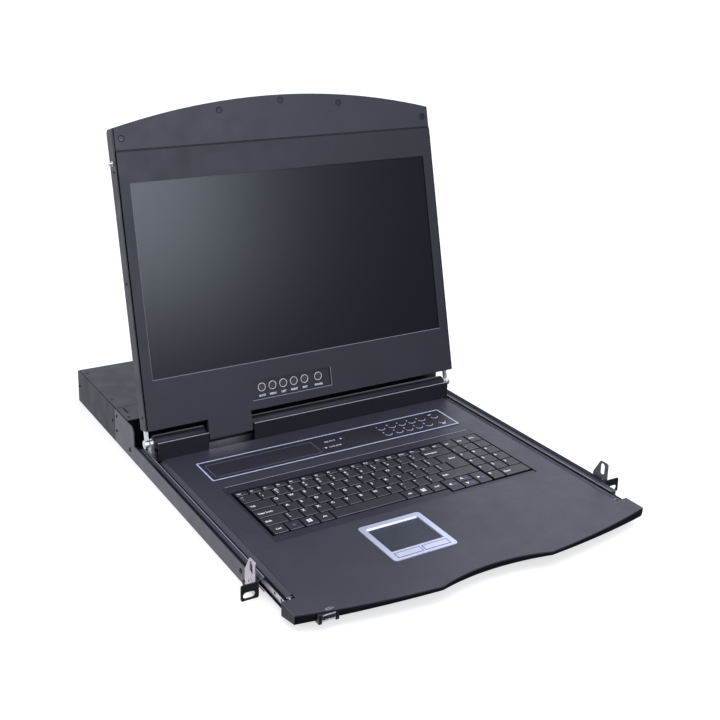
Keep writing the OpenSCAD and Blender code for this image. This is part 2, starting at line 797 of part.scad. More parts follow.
module lcd_panel() {
    color(c_glass) on_screen() {
        box([-210, 1.5, picture_z - 4], [210, 9, picture_z + picture_h + 4]);
        both_sides() for (z = [70, 280]) box([202, 9, z - 6], [208, screen_depth - sheet, z + 6]);
    }
}

module lcd_board() {
    color(c_board) on_screen() {
        box([-70, 12.5, 120], [70, 14.1, 230]);
        for (p = [[-50, 140, 24], [0, 150, 30], [-40, 190, 18], [40, 200, 14]])
            box([p[0], 10.5, p[1]], [p[0] + p[2], 12.5, p[1] + p[2]]);
        for (x = [-64, 64], z = [126, 224]) rod_y(x, z, 2.5, 14.1, screen_depth - sheet);
    }
}

module osd_plate() {
    color(c_dark) on_screen() difference() {
        box([-83, 2.2, 8.8], [35, 3.4, 37.9]);
        for (x = osd_x) rod_y(x, osd_h, osd_r + 0.3, 0, 6);
    }
}

// Hinge leaf, moving with the screen: strap, knuckle and pin.
module leaf_shape() {
    box([214.9, 12.2, axis_h], [218.9, 16.4, 13]);
    rod_x(axis_d, axis_h, 5, 214.9, 220.6);
    rod_x(axis_d, axis_h, hinge_pin_r, 209.8, 214.9);
    box([214.9, 16.4, 7], [218.9, 18.3, 13]);
}

module hinge_leaves() {
    color(c_zinc) on_screen() both_sides() leaf_shape();
}

module latch_pins() {
    color(c_zinc) on_screen() both_sides() {
        rod_x(9.5, latch_pin_h, latch_pin_r, cover_half, cover_half + 5.2);
        rod_x(9.5, latch_pin_h, 3, cover_half, cover_half + 0.8);
    }
}

// Screen push-button number i, pressed along the screen's depth.
module osd_button(i) {
    color(c_key) on_screen() {
        rod_y(osd_x[i], osd_h, osd_r, 1.4, 6);
        rod_y(osd_x[i], osd_h, osd_r + 1, 4.6, 6);
    }
}

module osd_button_1() {
    osd_button(0);
}

module osd_button_2() {
    osd_button(1);
}

module osd_button_3() {
    osd_button(2);
}

module osd_button_4() {
    osd_button(3);
}

module osd_button_5() {
    osd_button(4);
}

module osd_button_6() {
    osd_button(5);
}

left_side_rail();
right_side_rail();
left_rack_ear();
right_rack_ear();
switch_case();
switch_lid();
front_crossplate();
bottom_crossbar();
outer_slides();
frame_screws();
computer_ports();
console_ports();
power_inlet();
switch_board();
power_supply();
power_rocker();
left_lever();
right_lever();
left_mid_slide();
right_mid_slide();
drawer_pan();
drawer_deck();
front_lip();
inner_slides();
hinge_cover();
hinge_bases();
selector_panel();
selector_board();
keyboard_tray();
keycaps();
touchpad_bezel();
touchpad_pad();
usb_socket();
usb_housing();
deck_screws();
touch_left_button();
touch_right_button();
key_space();
key_enter();
key_backspace();
key_left_shift();
key_right_shift();
key_tab();
key_up();
key_down();
lcd_back_cover();
lcd_bezel();
lcd_cap();
cap_screws();
lcd_panel();
lcd_board();
osd_plate();
hinge_leaves();
latch_pins();
osd_button_1();
osd_button_2();
osd_button_3();
osd_button_4();
osd_button_5();
osd_button_6();
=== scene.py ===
"""Looks of the rack console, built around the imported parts.

Every visible CAD part gets a skin with its edges broken. Keycaps, prints, screw heads and the details of the
sockets are modelled here.
"""

import json
import math

import bmesh
import bpy
from mathutils import Matrix, Vector

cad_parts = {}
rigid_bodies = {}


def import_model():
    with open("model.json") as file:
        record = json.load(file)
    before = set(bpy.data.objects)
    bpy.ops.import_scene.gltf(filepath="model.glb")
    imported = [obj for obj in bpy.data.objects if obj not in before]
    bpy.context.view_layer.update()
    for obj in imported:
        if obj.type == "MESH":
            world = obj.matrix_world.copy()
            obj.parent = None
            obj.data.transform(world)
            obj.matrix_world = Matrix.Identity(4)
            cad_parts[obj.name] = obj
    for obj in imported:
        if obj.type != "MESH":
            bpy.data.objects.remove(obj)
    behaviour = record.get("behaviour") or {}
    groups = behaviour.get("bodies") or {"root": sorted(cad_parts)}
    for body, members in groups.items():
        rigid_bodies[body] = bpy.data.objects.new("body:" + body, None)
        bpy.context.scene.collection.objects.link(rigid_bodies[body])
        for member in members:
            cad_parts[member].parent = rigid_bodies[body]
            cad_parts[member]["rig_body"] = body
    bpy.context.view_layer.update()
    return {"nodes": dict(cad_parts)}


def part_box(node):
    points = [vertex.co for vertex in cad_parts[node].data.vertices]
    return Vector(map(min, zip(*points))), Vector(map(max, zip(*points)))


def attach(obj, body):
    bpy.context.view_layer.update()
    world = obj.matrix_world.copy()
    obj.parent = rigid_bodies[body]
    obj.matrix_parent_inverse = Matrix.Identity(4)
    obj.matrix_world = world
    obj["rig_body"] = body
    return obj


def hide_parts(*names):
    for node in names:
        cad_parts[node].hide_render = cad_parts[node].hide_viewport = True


MM = 0.001
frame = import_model()
scene = bpy.context.scene

# ---------------------------------------------------------------- places, from the frame

RAIL_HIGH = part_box("right_side_rail")[1]
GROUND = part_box("switch_case")[0].z
# The shape functions take mm, so the places from here on are in mm. Floor, lights and camera are in metres.
Z0 = GROUND / MM
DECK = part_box("drawer_deck")[1].z / MM
HALF_WIDTH = RAIL_HIGH.x / MM
CASE_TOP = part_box("switch_case")[1].z / MM
# The rear end of the side rail, not the rear panel: the rear details built from it lie inside the case.
RAIL_REAR = RAIL_HIGH.y / MM
Z_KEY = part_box("keycaps")[1].z / MM
# The screen's frame: x to the right, y into the screen and z up it, from its bottom front edge.
SCREEN_TILT = math.radians(13.8)
SCREEN_PLACE = (0, 296.2 * MM, GROUND + 55.4 * MM)
SCREEN = Matrix.Translation(SCREEN_PLACE) @ Matrix.Rotation(-SCREEN_TILT, 4, "X")
SIDES = ((1, "X"), (-1, "-X"))
# From the front to the back of a thin line laid on the screen's face.
LINE_FRONT, LINE_BACK = -0.08, 0.02


# ---------------------------------------------------------------- node materials


class Graph:
    """A material's node tree, with short calls for the nodes used here."""

    def __init__(self, name):
        self.material = bpy.data.materials.new(name)
        self.material.use_nodes = True
        self.nodes = self.material.node_tree.nodes
        self.links = self.material.node_tree.links
        self.shader = self.nodes["Principled BSDF"]
        self.place = self.nodes.new("ShaderNodeTexCoord").outputs["Object"]

    def set(self, **values):
        for key, value in values.items():
            self.shader.inputs[key.replace("_", " ")].default_value = value

    def link(self, output, key):
        self.links.new(output, self.shader.inputs[key])

    def noise(self, scale, detail=3.0, stretch=(1, 1, 1), rough=0.55):
        mapping = self.nodes.new("ShaderNodeMapping")
        mapping.inputs["Scale"].default_value = stretch
        self.links.new(self.place, mapping.inputs["Vector"])
        node = self.nodes.new("ShaderNodeTexNoise")
        node.inputs["Scale"].default_value = scale
        node.inputs["Detail"].default_value = detail
        node.inputs["Roughness"].default_value = rough
        self.links.new(mapping.outputs[0], node.inputs["Vector"])
        return node.outputs["Fac"]

    def cells(self, scale, feature="F1"):
        node = self.nodes.new("ShaderNodeTexVoronoi")
        node.feature = feature
        node.inputs["Scale"].default_value = scale
        self.links.new(self.place, node.inputs["Vector"])
        return node.outputs["Distance"]

    def cell_tint(self, scale):
        node = self.nodes.new("ShaderNodeTexVoronoi")
        node.inputs["Scale"].default_value = scale
        self.links.new(self.place, node.inputs["Vector"])
        return self.ramp(node.outputs["Color"], 0.0, 1.0, 0.0, 1.0)

    def ramp(self, value, low, high, at_low, at_high):
        node = self.nodes.new("ShaderNodeMapRange")
        for key, number in zip(("From Min", "From Max", "To Min", "To Max"), (low, high, at_low, at_high)):
            node.inputs[key].default_value = number
        self.links.new(value, node.inputs["Value"])
        return node.outputs[0]

    def math(self, operation, a, b):
        node = self.nodes.new("ShaderNodeMath")
        node.operation = operation
        for socket, value in zip(node.inputs, (a, b)):
            if isinstance(value, (int, float)):
                socket.default_value = value
            else:
                self.links.new(value, socket)
        return node.outputs[0]

    def mix(self, value, first, second):
        node = self.nodes.new("ShaderNodeMix")
        node.data_type = "RGBA"
        self.links.new(value, node.inputs["Factor"])
        for key, colour in (("A", first), ("B", second)):
            socket = [s for s in node.inputs if s.name == key and s.type == "RGBA"][0]
            if isinstance(colour, (tuple, list)):
                socket.default_value = (*colour, 1.0)
            else:
                self.links.new(colour, socket)
        return [s for s in node.outputs if s.type == "RGBA"][0]

    def bump(self, height, distance, strength=1.0):
        node = self.nodes.new("ShaderNodeBump")
        node.inputs["Distance"].default_value = distance
        node.inputs["Strength"].default_value = strength
        self.links.new(height, node.inputs["Height"])
        self.link(node.outputs["Normal"], "Normal")

    def facing(self, axis, low, high):
        """0 to 1 as a face turns towards the row axis given (X, Y or Z), from the true normal."""
        split = self.nodes.new("ShaderNodeSeparateXYZ")
        self.links.new(self.nodes.new("ShaderNodeNewGeometry").outputs["True Normal"], split.inputs[0])
        return self.ramp(split.outputs[axis], low, high, 0.0, 1.0)

    def rim_wear_and_highlight(self, radius):
        """0 on flats and up to 1 on outer edges, broken up by noise: the mask of edge wear and painted
        highlight.
        """
        bevel = self.nodes.new("ShaderNodeBevel")
        bevel.samples = 4
        bevel.inputs["Radius"].default_value = radius
        geometry = self.nodes.new("ShaderNodeNewGeometry")
        dot = self.nodes.new("ShaderNodeVectorMath")
        dot.operation = "DOT_PRODUCT"
        self.links.new(bevel.outputs[0], dot.inputs[0])
        self.links.new(geometry.outputs["Normal"], dot.inputs[1])
        edge = self.ramp(dot.outputs["Value"], 0.99, 0.86, 0.0, 1.0)
        broken = self.ramp(self.noise(160, 4), 0.5, 0.72, 0.0, 1.0)
        return self.math("MULTIPLY", edge, broken)


def tinted(colour, factor):
    """The colour made darker or lighter by the factor."""
    return tuple(min(1.0, c * factor) for c in colour)


def powder_coat(name, colour, rough=0.5, grain=1.0, wear_and_highlight=0.35, shine=0.5, sides=1.0, front=1.0, top=1.0):
    """Fine powder coat: orange-peel grain, faint clouds, edges lightened for wear and painted highlight;
    sides, front and top can take painted shade.
    """
    g = Graph(name)
    cloud = g.noise(9, 4)
    speck = g.noise(1500, 2)
    base = g.mix(g.ramp(cloud, 0.3, 0.7, 0, 1), tinted(colour, 0.9), tinted(colour, 1.1))
    base = g.mix(g.ramp(speck, 0.55, 0.8, 0, 0.6), base, tinted(colour, 1.9))
    # Painted shade: faces turned to the sides, to the front or upwards get a darker copy of the colour.
    if sides < 1:
        turned = g.math("MAXIMUM", g.facing("X", -0.6, -0.9), g.facing("X", 0.6, 0.9))
        base = g.mix(turned, base, tinted(colour, sides))
    if front < 1:
        base = g.mix(g.facing("Y", -0.55, -0.85), base, tinted(colour, front))
    if top < 1:
        base = g.mix(g.facing("Z", 0.5, 0.9), base, tinted(colour, top))
    # Outer edges lightened: partly wear, partly painted highlight.
    wear = g.math("MULTIPLY", g.rim_wear_and_highlight(0.5 * MM), wear_and_highlight)
    g.link(g.mix(wear, base, tinted(colour, 3.2)), "Base Color")
    grain_height = g.math("ADD", g.noise(900, 3), g.math("MULTIPLY", g.cells(1300), 0.6))
    g.link(g.ramp(g.noise(40, 3), 0.3, 0.7, rough - 0.05, rough + 0.06), "Roughness")
    g.set(Specular_IOR_Level=shine)
    g.bump(grain_height, 0.09 * MM * grain, 0.55)
    return g.material


def keycap_plastic(name, colour):
    """Fine-grained cap: skirt darkened as painted shade of the gaps, plain top and a painted highlight line
    along the front shoulder.
    """
    g = Graph(name)
    cloud = g.ramp(g.noise(25, 3), 0.3, 0.7, 0, 1)
    top = g.mix(cloud, tinted(colour, 0.92), tinted(colour, 1.08))
    # Painted shade: faces not turned upwards are nearly black, for the gaps between the keys.
    skirt_shade = g.mix(g.facing("Z", 0.25, 0.7), tinted(colour, 0.12), top)
    # Painted highlight: a light line along the front shoulder.
    shoulder = g.math("MULTIPLY", g.facing("Y", -0.3, -0.5), g.facing("Z", 0.4, 0.6))
    g.link(g.mix(shoulder, skirt_shade, tinted(colour, 5.0)), "Base Color")
    g.link(g.ramp(g.noise(120, 4), 0.3, 0.7, 0.38, 0.5), "Roughness")
    g.set(Specular_IOR_Level=0.45)
    g.bump(g.noise(1400, 3), 0.02 * MM, 0.4)
    return g.material


def moulded(name, colour, rough=0.5, grain=0.5, spark=700):
    """Moulded plastic with fine spark grain."""
    g = Graph(name)
    cloud = g.ramp(g.noise(25, 3), 0.3, 0.7, 0, 1)
    g.link(g.mix(cloud, tinted(colour, 0.88), tinted(colour, 1.12)), "Base Color")
    g.link(g.ramp(g.noise(120, 4), 0.3, 0.7, rough - 0.07, rough + 0.07), "Roughness")
    g.bump(g.noise(spark, 3), 0.05 * MM * grain, 0.5)
    return g.material


def zinc_plate(name, colour, rough=0.34, spangle=90, brushed=(1, 1, 1)):
    """Zinc plate: soft spangle, faint rolling lines and dull patches."""
    g = Graph(name)
    tint = g.cell_tint(spangle)
    dull = g.ramp(g.noise(35, 5), 0.35, 0.75, 0, 1)
    base = g.mix(tint, tinted(colour, 0.86), tinted(colour, 1.06))
    g.link(g.mix(g.math("MULTIPLY", dull, 0.35), base, tinted(colour, 0.6)), "Base Color")
    g.set(Metallic=1.0)
    dulled = g.ramp(dull, 0, 1, rough, rough + 0.16)
    g.link(g.math("ADD", dulled, g.math("MULTIPLY", tint, 0.06)), "Roughness")
    g.bump(g.noise(600, 3, brushed), 0.03 * MM, 0.35)
    return g.material


def folded_zinc(name, colour, dark):
    """Zinc strip with its upward-facing flanges darkened and dulled as painted shade."""
    g = Graph(name)
    # Painted shade: upward-facing faces take the dark colour and lose their metal shine.
    flange = g.facing("Z", 0.3, 0.6)
    zinc = g.mix(g.ramp(g.noise(60, 4), 0.3, 0.7, 0, 1), tinted(colour, 0.8), colour)
    g.link(g.mix(flange, zinc, dark), "Base Color")
    g.link(g.ramp(flange, 0, 1, 0.6, 0), "Metallic")
    g.link(g.ramp(flange, 0, 1, 0.5, 0.12), "Specular IOR Level")
    g.link(g.ramp(g.noise(90, 4), 0.3, 0.75, 0.38, 0.55), "Roughness")
    g.bump(g.noise(600, 3, (1, 0.04, 1)), 0.03 * MM, 0.35)
    return g.material


def silver_paint(name, colour):
    """Silver paint with fine flakes under a thin clear coat."""
    g = Graph(name)
    flake = g.noise(2600, 1)
    base = g.mix(g.ramp(flake, 0.35, 0.7, 0, 1), tinted(colour, 0.9), tinted(colour, 1.08))
    g.link(base, "Base Color")
    g.set(Metallic=0.45, Coat_Weight=0.15, Coat_Roughness=0.2)
    g.link(g.ramp(g.noise(60, 3), 0.3, 0.7, 0.3, 0.42), "Roughness")
    g.bump(g.noise(900, 2), 0.02 * MM, 0.3)
    return g.material


def display_film(name):
    """Dark anti-glare display: even haze and a faint change of tone across it."""
    g = Graph(name)
    tone = g.ramp(g.noise(2.2, 1), 0.3, 0.7, 0, 1)
    g.link(g.mix(tone, (0.005, 0.006, 0.010), (0.007, 0.0085, 0.013)), "Base Color")
    g.set(Roughness=0.27, Specular_IOR_Level=0.5)
    return g.material


def circuit_board(name):
    """Green lacquer over faint copper tracks."""
    g = Graph(name)
    tracks = g.ramp(g.cells(260, "DISTANCE_TO_EDGE"), 0.02, 0.06, 1, 0)
    base = g.mix(tracks, (0.012, 0.075, 0.03), (0.03, 0.13, 0.05))
    g.link(g.mix(g.ramp(g.noise(70, 4), 0.45, 0.75, 0, 0.5), base, (0.01, 0.05, 0.025)), "Base Color")
    g.link(g.ramp(tracks, 0, 1, 0.35, 0.28), "Roughness")
    g.bump(tracks, 0.03 * MM, 0.6)
    return g.material


def print_ink(name, colour, rough=0.45):
    """Screen-printed ink with slightly uneven cover."""
    g = Graph(name)
    cover = g.ramp(g.noise(900, 2), 0.35, 0.7, 0, 1)
    g.link(g.mix(cover, tinted(colour, 0.82), colour), "Base Color")
    g.link(g.ramp(cover, 0, 1, rough + 0.1, rough), "Roughness")
    return g.material


DECK_BLUE = (0.034, 0.035, 0.049)
SCREEN_BLUE = (0.026, 0.0265, 0.036)
M = {
    "deck": powder_coat("deck_coat", DECK_BLUE, 0.46, 0.9),
    "screen": powder_coat("screen_coat", SCREEN_BLUE, 0.48, 0.9),
    # Painted shade: the cover's side faces are darker.
    "cover": powder_coat("cover_coat", SCREEN_BLUE, 0.48, 0.9, sides=0.45),
    # Painted light: the cap's coat is a lighter copy of the screen's coat; its side faces are darker, painted
    # shade.
    "cap": powder_coat("cap_coat", (0.040, 0.040, 0.054), 0.48, 0.9, sides=0.4),
    "wall": powder_coat("wall_coat", (0.013, 0.013, 0.018), 0.5, 0.9, wear_and_highlight=0.2, shine=0.4),
    # Painted shade: the case's side faces are darker.
    "case": powder_coat("case_coat", (0.021, 0.0215, 0.029), 0.5, shine=0.33, sides=0.55),
    # Painted shade: the rail's upward faces are nearly black.
    "rail": powder_coat("rail_coat", (0.060, 0.056, 0.068), 0.42, 0.7, wear_and_highlight=0.15, top=0.08),
    "ear": powder_coat("ear_coat", (0.006, 0.006, 0.008), 0.45, 0.5, wear_and_highlight=0.15),
    "zinc": zinc_plate("bright_zinc", (0.88, 0.86, 0.88), 0.3, 130),
    "inner_slide": folded_zinc("inner_slide_zinc", (0.66, 0.67, 0.70), (0.003, 0.003, 0.004)),
    "pan": zinc_plate("pan_zinc", (0.52, 0.53, 0.56), 0.45, 60),
    "lever": zinc_plate("lever_zinc", (0.56, 0.53, 0.56), 0.45, 130),
    "nickel": zinc_plate("nickel_plate", (0.78, 0.76, 0.74), 0.22, 300),
    "black_screw": zinc_plate("black_screw", (0.035, 0.035, 0.042), 0.3, 200),
    "cap_screw": zinc_plate("cap_screw", (0.07, 0.07, 0.085), 0.35, 200),
    "plastic": moulded("black_plastic", (0.012, 0.012, 0.015), 0.5),
    "key": keycap_plastic("key_plastic", (0.030, 0.028, 0.036)),
    "tray": moulded("tray_plastic", (0.019, 0.021, 0.032), 0.46, 0.4),
    # Painted shade: the lip's front face and side ends are darker copies of the deck's coat.
    "lip": powder_coat("lip_coat", DECK_BLUE, 0.48, 0.8, wear_and_highlight=0.1, shine=0.2, sides=0.35, front=0.12),
    "mid_slide": folded_zinc("mid_slide_zinc", (0.45, 0.46, 0.50), (0.055, 0.058, 0.075)),
    "outer_slide": folded_zinc("outer_slide_zinc", (0.2, 0.2, 0.22), (0.004, 0.004, 0.005)),
    "membrane": moulded("membrane_film", (0.024, 0.025, 0.033), 0.4, 0.3, 1500),
    "button": moulded("button_plastic", (0.05, 0.05, 0.055), 0.4, 0.3),
    "pad": moulded("pad_film", (0.028, 0.031, 0.046), 0.4, 0.5, 1800),
    "silver": silver_paint("silver_plastic", (0.68, 0.69, 0.86)),
    "display": display_film("display_film"),
    "board": circuit_board("circuit_board"),
    "white_ink": print_ink("white_ink", (0.95, 0.95, 1.0)),
    "grey_ink": print_ink("grey_ink", (0.22, 0.23, 0.28)),
    "blue_ink": print_ink("blue_ink", (0.16, 0.2, 0.62)),
    "silver_ink": print_ink("silver_ink", (0.62, 0.64, 0.86), 0.35),
    "bright_silver": silver_paint("bright_silver", (0.92, 0.93, 1.0)),
    "blue_plastic": moulded("blue_plastic", (0.01, 0.016, 0.06), 0.4),
    # Painted highlight: light grey laid along edges.
    "painted_highlight": print_ink("painted_highlight_edge", (0.36, 0.37, 0.44), 0.4),
    # Painted shade: near-black laid into grooves, gaps and holes.
    "dark": moulded("painted_recess_shade", (0.004, 0.004, 0.005), 0.6),
    "lens": moulded("lens_plastic", (0.10, 0.10, 0.11), 0.12, 0.1),
}


# ---------------------------------------------------------------- mesh helpers

FLAT_AREA = 4 * MM * MM
STRIP_SHARE = 0.3
# Angles between two faces: still one plane, still smooth, and sharp enough to be broken.
SAME_PLANE = math.radians(0.5)
SOFT_EDGE = math.radians(38)
SHARP_EDGE = math.radians(28)


def stands_flat(face):
    """True for a broad flat face that only meets narrow edge strips or sharp corners."""
    area = face.calc_area()
    for edge in face.edges:
        if len(edge.link_faces) != 2:
            continue
        other = edge.link_faces[0] if edge.link_faces[1] == face else edge.link_faces[1]
        bend = abs(edge.calc_face_angle(0))
        if SAME_PLANE < bend < SOFT_EDGE and other.calc_area() > STRIP_SHARE * area:
            return False
    return area > FLAT_AREA


def smoothed(bm):
    """Smooth shading on all but broad flat faces, with a hard edge where two faces meet sharply."""
    for face in bm.faces:
        face.smooth = not stands_flat(face)
    for edge in bm.edges:
        edge.smooth = len(edge.link_faces) == 2 and edge.calc_face_angle(0) < SOFT_EDGE


def make(name, bm, material, body, place=None, stands_for=()):
    """Turns a bmesh into a piece that rides on a CAD body."""
    if place is not None:
        bm.transform(place)
    bmesh.ops.recalc_face_normals(bm, faces=bm.faces)
    smoothed(bm)
    mesh = bpy.data.meshes.new(name)
    bm.to_mesh(mesh)
    bm.free()
    if "custom_normal" in mesh.attributes:
        mesh.attributes.remove(mesh.attributes["custom_normal"])
    mesh.materials.clear()
    mesh.materials.append(material)
    piece = bpy.data.objects.new(name, mesh)
    scene.collection.objects.link(piece)
    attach(piece, body)
    if stands_for:
        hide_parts(*stands_for)
    return piece


def skin(node, material, bevel):
    """A copy of a CAD node with its edges broken, standing for the node."""
    bm = bmesh.new()
    bm.from_mesh(frame["nodes"][node].data)
    bmesh.ops.remove_doubles(bm, verts=bm.verts, dist=0.002 * MM)
    bmesh.ops.dissolve_limit(bm, angle_limit=SAME_PLANE, verts=bm.verts, edges=bm.edges)
    sharp = [e for e in bm.edges if len(e.link_faces) == 2 and e.calc_face_angle(0) > SHARP_EDGE]
    bmesh.ops.bevel(bm, geom=sharp, offset=bevel * MM, offset_type="OFFSET", segments=2,
                    profile=0.5, affect="EDGES", clamp_overlap=True)
    body = frame["nodes"][node]["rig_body"]
    return make(node + "_skin", bm, material, body, stands_for=[node])


def arc(cx, cy, r, a0, a1, n):
    """Points on an arc, angles in degrees."""
    return [(cx + r * math.cos(math.radians(a0 + (a1 - a0) * i / n)),
             cy + r * math.sin(math.radians(a0 + (a1 - a0) * i / n))) for i in range(n + 1)]


def rounded_rect(x0, y0, x1, y1, r, n=5):
    """A closed outline with round corners, anticlockwise."""
    corners = ((x1 - r, y1 - r, 0), (x0 + r, y1 - r, 90), (x0 + r, y0 + r, 180), (x1 - r, y0 + r, 270))
    return [p for cx, cy, a in corners for p in arc(cx, cy, r, a, a + 90, n)]


def inset(points, d):
    """A closed outline moved inwards by d, for anticlockwise points."""
    n = len(points)
    moved = []
    for i in range(n):
        a, b, c = Vector(points[i - 1]), Vector(points[i]), Vector(points[(i + 1) % n])
        u, v = (b - a).normalized(), (c - b).normalized()
        nu, nv = Vector((-u.y, u.x)), Vector((-v.y, v.x))
        middle = nu + nv
        middle = middle / max(middle.length_squared, 1e-12) * 2
        moved.append((b.x + middle.x * d, b.y + middle.y * d))
    return moved


def ring(bm, points, z):
    """Vertices in the order of the points, all at height z."""
    return [bm.verts.new((x * MM, y * MM, z * MM)) for x, y in points]


def bridge(bm, low, high):
    """Faces between two rings of equal length."""
    n = len(low)
    for i in range(n):
        bm.faces.new((low[i], low[(i + 1) % n], high[(i + 1) % n], high[i]))


def loft(bm, rings):
    """A closed solid through rings of equal length, first to last."""
    bm.faces.new(rings[0][::-1])
    for low, high in zip(rings, rings[1:]):
        bridge(bm, low, high)
    bm.faces.new(rings[-1])


def bar(bm, low, high, edge=0.12):
    """A small block between two corners in mm, its top edges broken."""
    (x0, y0, z0), (x1, y1, z1) = low, high
    edge = min(edge, (x1 - x0) / 4, (y1 - y0) / 4, (z1 - z0) / 2)
    outline = [(x0, y0), (x1, y0), (x1, y1), (x0, y1)]
    loft(bm, [ring(bm, outline, z0), ring(bm, outline, z1 - edge), ring(bm, inset(outline, edge), z1)])


def ribbon(bm, points, width, low, high, closed=True):
    """A flat band of the given width along points."""
    n = len(points)
    left, right = [], []
    for i in range(n):
        b = Vector(points[i])
        a = Vector(points[i - 1]) if closed or i > 0 else b
        c = Vector(points[(i + 1) % n]) if closed or i < n - 1 else b
        u = (b - a).normalized() if (b - a).length > 0 else (c - b).normalized()
        v = (c - b).normalized() if (c - b).length > 0 else u
        side = Vector((-u.y - v.y, u.x + v.x))
        side = side / max(side.length_squared, 1e-9) * width
        left.append(b + side)
        right.append(b - side)
    rows = [[bm.verts.new((p.x * MM, p.y * MM, z * MM)) for p in pts]
            for pts, z in ((left, low), (left, high), (right, high), (right, low))]
    for i in range(n if closed else n - 1):
        j = (i + 1) % n
        for k in range(4):
            bm.faces.new((rows[k][i], rows[k][j], rows[(k + 1) % 4][j], rows[(k + 1) % 4][i]))
    if not closed:
        bm.faces.new([row[0] for row in rows])
        bm.faces.new([row[-1] for row in rows][::-1])


def letters(bm, text, x, y, z, size, turn=Matrix.Identity(4), align="LEFT", thick=0.03, bold=0.12, space=1.0):
    """Raised print: text with its baseline start at x, y on the plane z."""
    curve = bpy.data.curves.new("print", "FONT")
    curve.body = text
    curve.size = size * MM
    curve.align_x = align
    curve.resolution_u = 2
    curve.offset = bold * MM
    curve.space_character = space
    curve.extrude = thick * MM / 2
    helper = bpy.data.objects.new("print", curve)
    scene.collection.objects.link(helper)
    mesh = bpy.data.meshes.new_from_object(helper.evaluated_get(bpy.context.evaluated_depsgraph_get()))
    mesh.transform(Matrix.Translation((x * MM, y * MM, (z + thick / 2) * MM)) @ turn)
    bm.from_mesh(mesh)
    bpy.data.objects.remove(helper)
    bpy.data.curves.remove(curve)
    bpy.data.meshes.remove(mesh)


def unit_circle(n):
    """Points (x, y) of a circle of radius 1."""
    return [(math.cos(2 * math.pi * i / n), math.sin(2 * math.pi * i / n)) for i in range(n)]


def move_new(bm, start, place):
    """Moves the vertices added since there were start of them."""
    bm.verts.ensure_lookup_table()
    bmesh.ops.transform(bm, matrix=place, verts=bm.verts[start:])


# (share of the radius, share of the height) up each kind of screw head.
SUNK_HEAD = ((0.72, 0), (1.0, 0.86), (0.97, 1.0))
DOMED_HEAD = ((0.96, 0), (1.0, 0.3), (0.93, 0.72), (0.7, 1.0))


def phillips(bm, place, r, h, sunk=False):
    """A cross-recessed screw head standing on z = 0 of place; r and h in mm."""
    n = 28
    start = len(bm.verts)
    circle = unit_circle(n)
    rings = [ring(bm, [(x * r * k, y * r * k) for x, y in circle], h * t)
             for k, t in (SUNK_HEAD if sunk else DOMED_HEAD)]
    bm.faces.new(rings[0][::-1])
    for low, high in zip(rings, rings[1:]):
        bridge(bm, low, high)
    arm, half = 0.52 * r, 0.13 * r
    quarter = [(arm, -half), (arm, half), (half, half)]
    cross = []
    for k in range(4):
        c, s = round(math.cos(k * math.pi / 2)), round(math.sin(k * math.pi / 2))
        cross += [(x * c - y * s, x * s + y * c) for x, y in quarter]
    top = ring(bm, cross, h)
    foot = ring(bm, [(x * 0.7, y * 0.7) for x, y in cross], h * 0.45)
    bridge(bm, foot, top)
    bm.faces.new(foot)
    bm.edges.ensure_lookup_table()
    rim = [bm.edges.get((loop[i], loop[(i + 1) % len(loop)]))
           for loop in (rings[-1], top) for i in range(len(loop))]
    bmesh.ops.triangle_fill(bm, use_beauty=True, edges=rim)
    move_new(bm, start, place)


def lathe(bm, place, profile, n=40):
    """A solid of revolution about z of place from (radius, height) pairs in mm."""
    start = len(bm.verts)
    circle = unit_circle(n)
    loft(bm, [ring(bm, [(x * r, y * r) for x, y in circle], z) for r, z in profile])
    move_new(bm, start, place)


def lathe_ring(bm, place, r0, r1, h, n=40):
    """A low ring between two radii."""
    start = len(bm.verts)
    circle = unit_circle(n)
    rows = [ring(bm, [(x * r, y * r) for x, y in circle], z)
            for r, z in ((r0, 0), (r0, h), ((r0 + r1) / 2, h * 1.15), (r1, h), (r1, 0))]
    for i in range(len(rows)):
        bridge(bm, rows[i - 1], rows[i])
    move_new(bm, start, place)


def at(x, y, z, axis="Z"):
    """A frame at x, y, z in mm whose own z points along the row axis given."""
    turn = {"Z": Matrix.Identity(4), "-Z": Matrix.Rotation(math.pi, 4, "X"),
            "Y": Matrix.Rotation(-math.pi / 2, 4, "X"), "-Y": Matrix.Rotation(math.pi / 2, 4, "X"),
            "X": Matrix.Rotation(math.pi / 2, 4, "Y"), "-X": Matrix.Rotation(-math.pi / 2, 4, "Y")}[axis]
    return Matrix.Translation((x * MM, y * MM, z * MM)) @ turn


# ---------------------------------------------------------------- skins of the CAD parts

